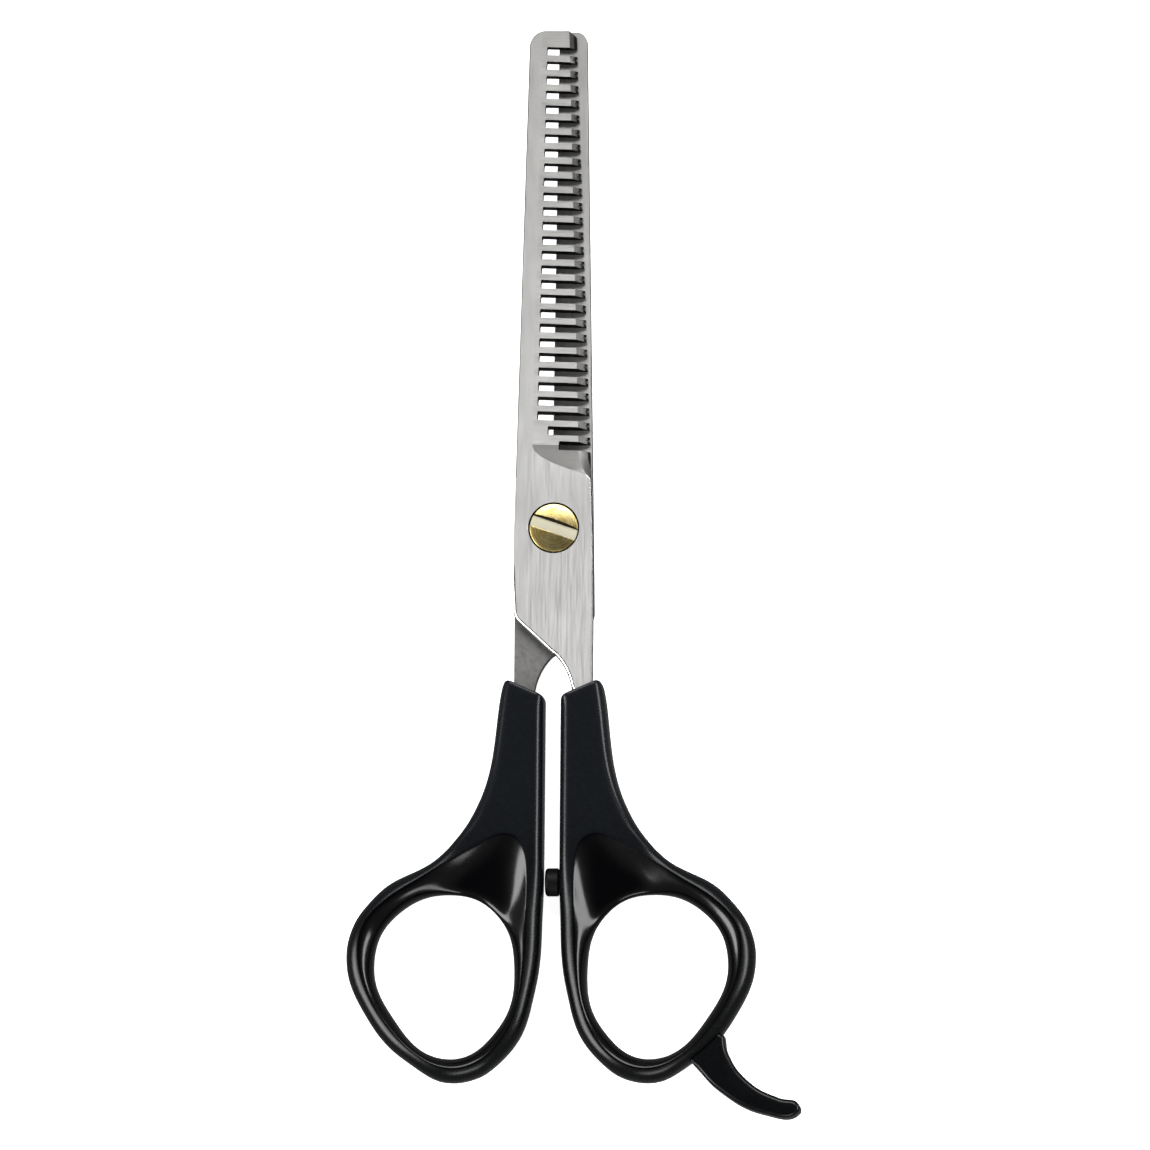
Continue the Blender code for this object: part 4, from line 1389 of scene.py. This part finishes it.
for name in ("row", "station", "crease_edge"):
    if name in cage.data.attributes:
        cage.data.attributes.remove(cage.data.attributes[name])
finger = place(cage, Matrix.Translation((0.0, 0.0, MIDDLE_Z)))
bpy.ops.object.shade_smooth()
print("finger handle:", triangles(finger), "triangles")

# %% [markdown]
# ### The other handle and the pockets
#
# The thumb's handle is the mirror image. On the real shears each blade's tang lies in the mould while the
# plastic flows round it, so each handle gets a pocket in the shape of its tang. The finger's handle also
# has the holes for the bumper's stem and for the finger rest's peg.

# %% Pockets
TANG_FIT = 0.15 * MM
SMALL_FIT = 0.12 * MM
ARCH_FIT = 0.35 * MM
BUMPER_Y = -55.4 * MM
STEM_RADIUS = 1.1 * MM
STEM_END_X = 3.45 * MM
PEG_RADIUS = 1.1 * MM
PEG_LENGTH = 2.0 * MM
REST_FOOT = Vector((24.75 * MM, -81.85 * MM, MIDDLE_Z))

out_of_loop = Vector((1.0, -1.0, 0.0)).to_track_quat("Z", "Y").to_matrix().to_4x4()
to_rest = Matrix.Translation(REST_FOOT) @ out_of_loop
to_bumper = Matrix.Translation((0.0, BUMPER_Y, MIDDLE_Z)) @ Matrix.Rotation(math.radians(-90.0), 4, "Y")


def tang_pocket(low, high, outline_side):
    """The room for a tang, open at the collar."""
    inner, outer = TANG_INNER_X - ARCH_FIT, PLATE_HALF_WIDTH + TANG_FIT
    bottom, top = TANG_END_Y - TANG_FIT, SHOULDER_Y
    outline = outline_side([(inner, top), (inner, bottom), (outer, bottom), (outer, top)])
    return plate("tang_pocket", outline, low - TANG_FIT, high + TANG_FIT, polished_black_abs)


thumb = duplicate(finger)
thumb.name = thumb.data.name = "thumb_handle_moulded"
place(thumb, Matrix.Diagonal((-1.0, 1.0, 1.0, 1.0)))
loop_shape = duplicate(finger)

cut(finger, tang_pocket(comb_low.z, comb_high.z, list))
cut(thumb, tang_pocket(straight_low.z, straight_high.z, mirrored))
for name, radius, length, matrix in (
    ("stem_hole", STEM_RADIUS, STEM_END_X, to_bumper),
    ("peg_hole", PEG_RADIUS, PEG_LENGTH, to_rest),
):
    drill = round_cutter(name, radius + SMALL_FIT, -length - SMALL_FIT, MM, polished_black_abs, 32)
    cut(finger, place(drill, matrix))
smooth(finger)
smooth(thumb)
hand_in(finger, "finger_half", "handle_plastic", "finger_handle")
hand_in(thumb, "thumb_half", "handle_plastic", "thumb_handle")

# %% [markdown]
# ## The bumper
#
# A small rubber buffer sits between the handles and stops them when the shears close. It is a moulded
# button with a stem that is pressed into the finger's handle.

# %% Bumper
BUMPER_RADIUS = bumper_high.z - MIDDLE_Z
BUMPER_NOSE = 0.5 * MM
BUMPER_CHAMFER = 0.12 * MM
STEM_CHAMFER = 0.15 * MM
NOSE_DIMPLE = 0.06 * MM
button_back = -1.13 * MM
button_face = -bumper_low.x
stem_profile = [
    (0.0, -STEM_END_X),
    (STEM_RADIUS - STEM_CHAMFER, -STEM_END_X),
    (STEM_RADIUS, -STEM_END_X + STEM_CHAMFER),
    (STEM_RADIUS, button_back),
]
button_profile = [
    (BUMPER_RADIUS - BUMPER_CHAMFER, button_back),
    (BUMPER_RADIUS, button_back + BUMPER_CHAMFER),
    *arc((BUMPER_RADIUS - BUMPER_NOSE, button_face - BUMPER_NOSE), BUMPER_NOSE, 0, 90, 8),
    (BUMPER_RADIUS * 0.55, button_face),
    (BUMPER_RADIUS * 0.5, button_face - NOSE_DIMPLE),
    (0.0, button_face - NOSE_DIMPLE),
]
bumper = turned("bumper_moulded", stem_profile + button_profile, black_rubber, steps=64)
smooth(place(bumper, to_bumper))
hand_in(bumper, "finger_half", "bumper_rubber", "bumper")

# %% [markdown]
# ## The finger rest
#
# A curved horn on the finger loop carries the little finger. It is a flat moulding with well rounded edges,
# whose foot is hollowed to sit on the loop. The hollow is cut with a copy of the handle that is grown by
# the fit.

# %% Finger rest
REST_EDGE = 0.7 * MM
REST_THINNING = 3  # keeps every third point of the smooth curve
REST_FOOT_CORNERS = [(22.4, -84.0), (20.6, -81.9), (24.6, -77.8)]
REST_HORN = [
    (27.2, -79.6), (27.7, -82.2), (31.4, -87.0), (35.9, -89.3), (38.75, -90.1), (38.85, -91.5),
    (33.3, -91.65), (26.3, -88.0), (22.4, -84.0),
]


def smooth_path(points):
    """The smooth curve through the points, from the first to the last."""
    ends = [Vector(point) for point in (points[0], points[1], points[-2], points[-1])]
    before, after = 2 * ends[0] - ends[1], 2 * ends[3] - ends[2]
    return smooth_loop([before, *points, after])[CURVE_STEPS : CURVE_STEPS * len(points)]


def rest_rim(start, end):
    corners = [Vector(point) * MM for point in REST_FOOT_CORNERS]
    at_foot = [min((point.xy - corner).length for corner in corners) < NEAR for point in (start, end)]
    return start.z == end.z and not all(at_foot)


horn = [tuple(spot * MM) for spot in smooth_path(REST_HORN)[::REST_THINNING]]
foot = [(x * MM, y * MM) for x, y in REST_FOOT_CORNERS]
rest = plate("finger_rest_moulded", horn + foot, rest_low.z, rest_high.z, satin_black_abs)
bevel_edges(rest, rest_rim, REST_EDGE, segments=8)
grow = loop_shape.modifiers.new("fit", "DISPLACE")
grow.mid_level = 0.0
grow.strength = SMALL_FIT
make_active(loop_shape)
bpy.ops.object.modifier_apply(modifier=grow.name)
cut(rest, loop_shape)
peg = round_cutter("peg", PEG_RADIUS, -PEG_LENGTH, PEG_LENGTH, polished_black_abs, 32)
cut(rest, place(peg, to_rest), "UNION")
smooth(rest)
hand_in(rest, "finger_half", "handle_plastic", "finger_rest")

# %% [markdown]
# ## Floor and light
#
# The shears lie on a white light table. The space straight above is dim and the big soft lights stand round
# it, as in a light tent with a dark hole for the camera. Flat glossy plastic mirrors only the dim space, so
# it stays black, while its round edges catch the lights as long streaks. Satin steel gathers light from a
# wide angle, so it looks pale. The table isn't mirrored in the plastic, which keeps the edges of the
# handles dark.

# %% Floor
FLOOR_SIZE = 3.0

white_table, white_table_shader = new_material("white_light_table", "#ffffff", 0.9)
white_table_shader.inputs["Emission Color"].default_value = linear("#ffffff")
white_table_shader.inputs["Emission Strength"].default_value = 0.9
white_table_shader.inputs["Specular IOR Level"].default_value = 0.0
deselect_all()
bpy.ops.mesh.primitive_plane_add(size=FLOOR_SIZE, location=(0.0, 0.0, cad_bounds[0][2] - 0.02 * MM))
table = named("white_table", white_table)
table.visible_glossy = False

# %% Lights
TENT_LIGHT = 0.18  # from below up to TENT_TOP, fading to HOLE_LIGHT at HOLE_RIM
HOLE_LIGHT = 0.03
TENT_TOP = math.sin(math.radians(50.0))
HOLE_RIM = math.sin(math.radians(68.0))
SOFTBOX_DISTANCE = 0.9
SOFTBOXES = {  # azimuth and elevation in degrees, width and height in metres, power in watts
    "left_softbox": (200.0, 30.0, 0.7, 0.35, 8.2),
    "right_softbox": (5.0, 28.0, 0.7, 0.25, 5.2),
    "far_softbox": (90.0, 52.0, 0.9, 0.35, 6.8),
    "near_softbox": (280.0, 24.0, 0.5, 0.2, 1.8),
}

tent = bpy.data.worlds.new("light_tent")
tent.use_nodes = True
direction = add_node(tent, "ShaderNodeTexCoord").outputs["Generated"]
upwards = axes_of(tent, direction)["Z"]
background = tent.node_tree.nodes["Background"]
background.inputs["Color"].default_value = linear("#ffffff")
plug(tent, background, {"Strength": remap(tent, upwards, TENT_TOP, HOLE_RIM, TENT_LIGHT, HOLE_LIGHT)})
bpy.context.scene.world = tent


def softbox(name, azimuth, elevation, width, height, power):
    """A large soft light that faces the middle of the shears. Azimuth 0 is at +X, 90 at +Y."""
    light = bpy.data.lights.new(name, "AREA")
    light.shape = "RECTANGLE"
    light.size = width
    light.size_y = height
    light.energy = power
    lamp = bpy.data.objects.new(name, light)
    bpy.context.scene.collection.objects.link(lamp)
    azimuth, elevation = math.radians(azimuth), math.radians(elevation)
    flat = Vector((math.cos(azimuth), math.sin(azimuth), 0.0)) * math.cos(elevation)
    lamp.location = SOFTBOX_DISTANCE * (flat + Vector((0.0, 0.0, math.sin(elevation))))
    lamp.rotation_euler = (-lamp.location).to_track_quat("-Z", "Y").to_euler()


for name, measures in SOFTBOXES.items():
    softbox(name, *measures)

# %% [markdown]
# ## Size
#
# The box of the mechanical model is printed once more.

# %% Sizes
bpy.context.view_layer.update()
print("cad box in mm:", [[round(v / MM, 2) for v in corner] for corner in cad_bounds])
deselect_all()
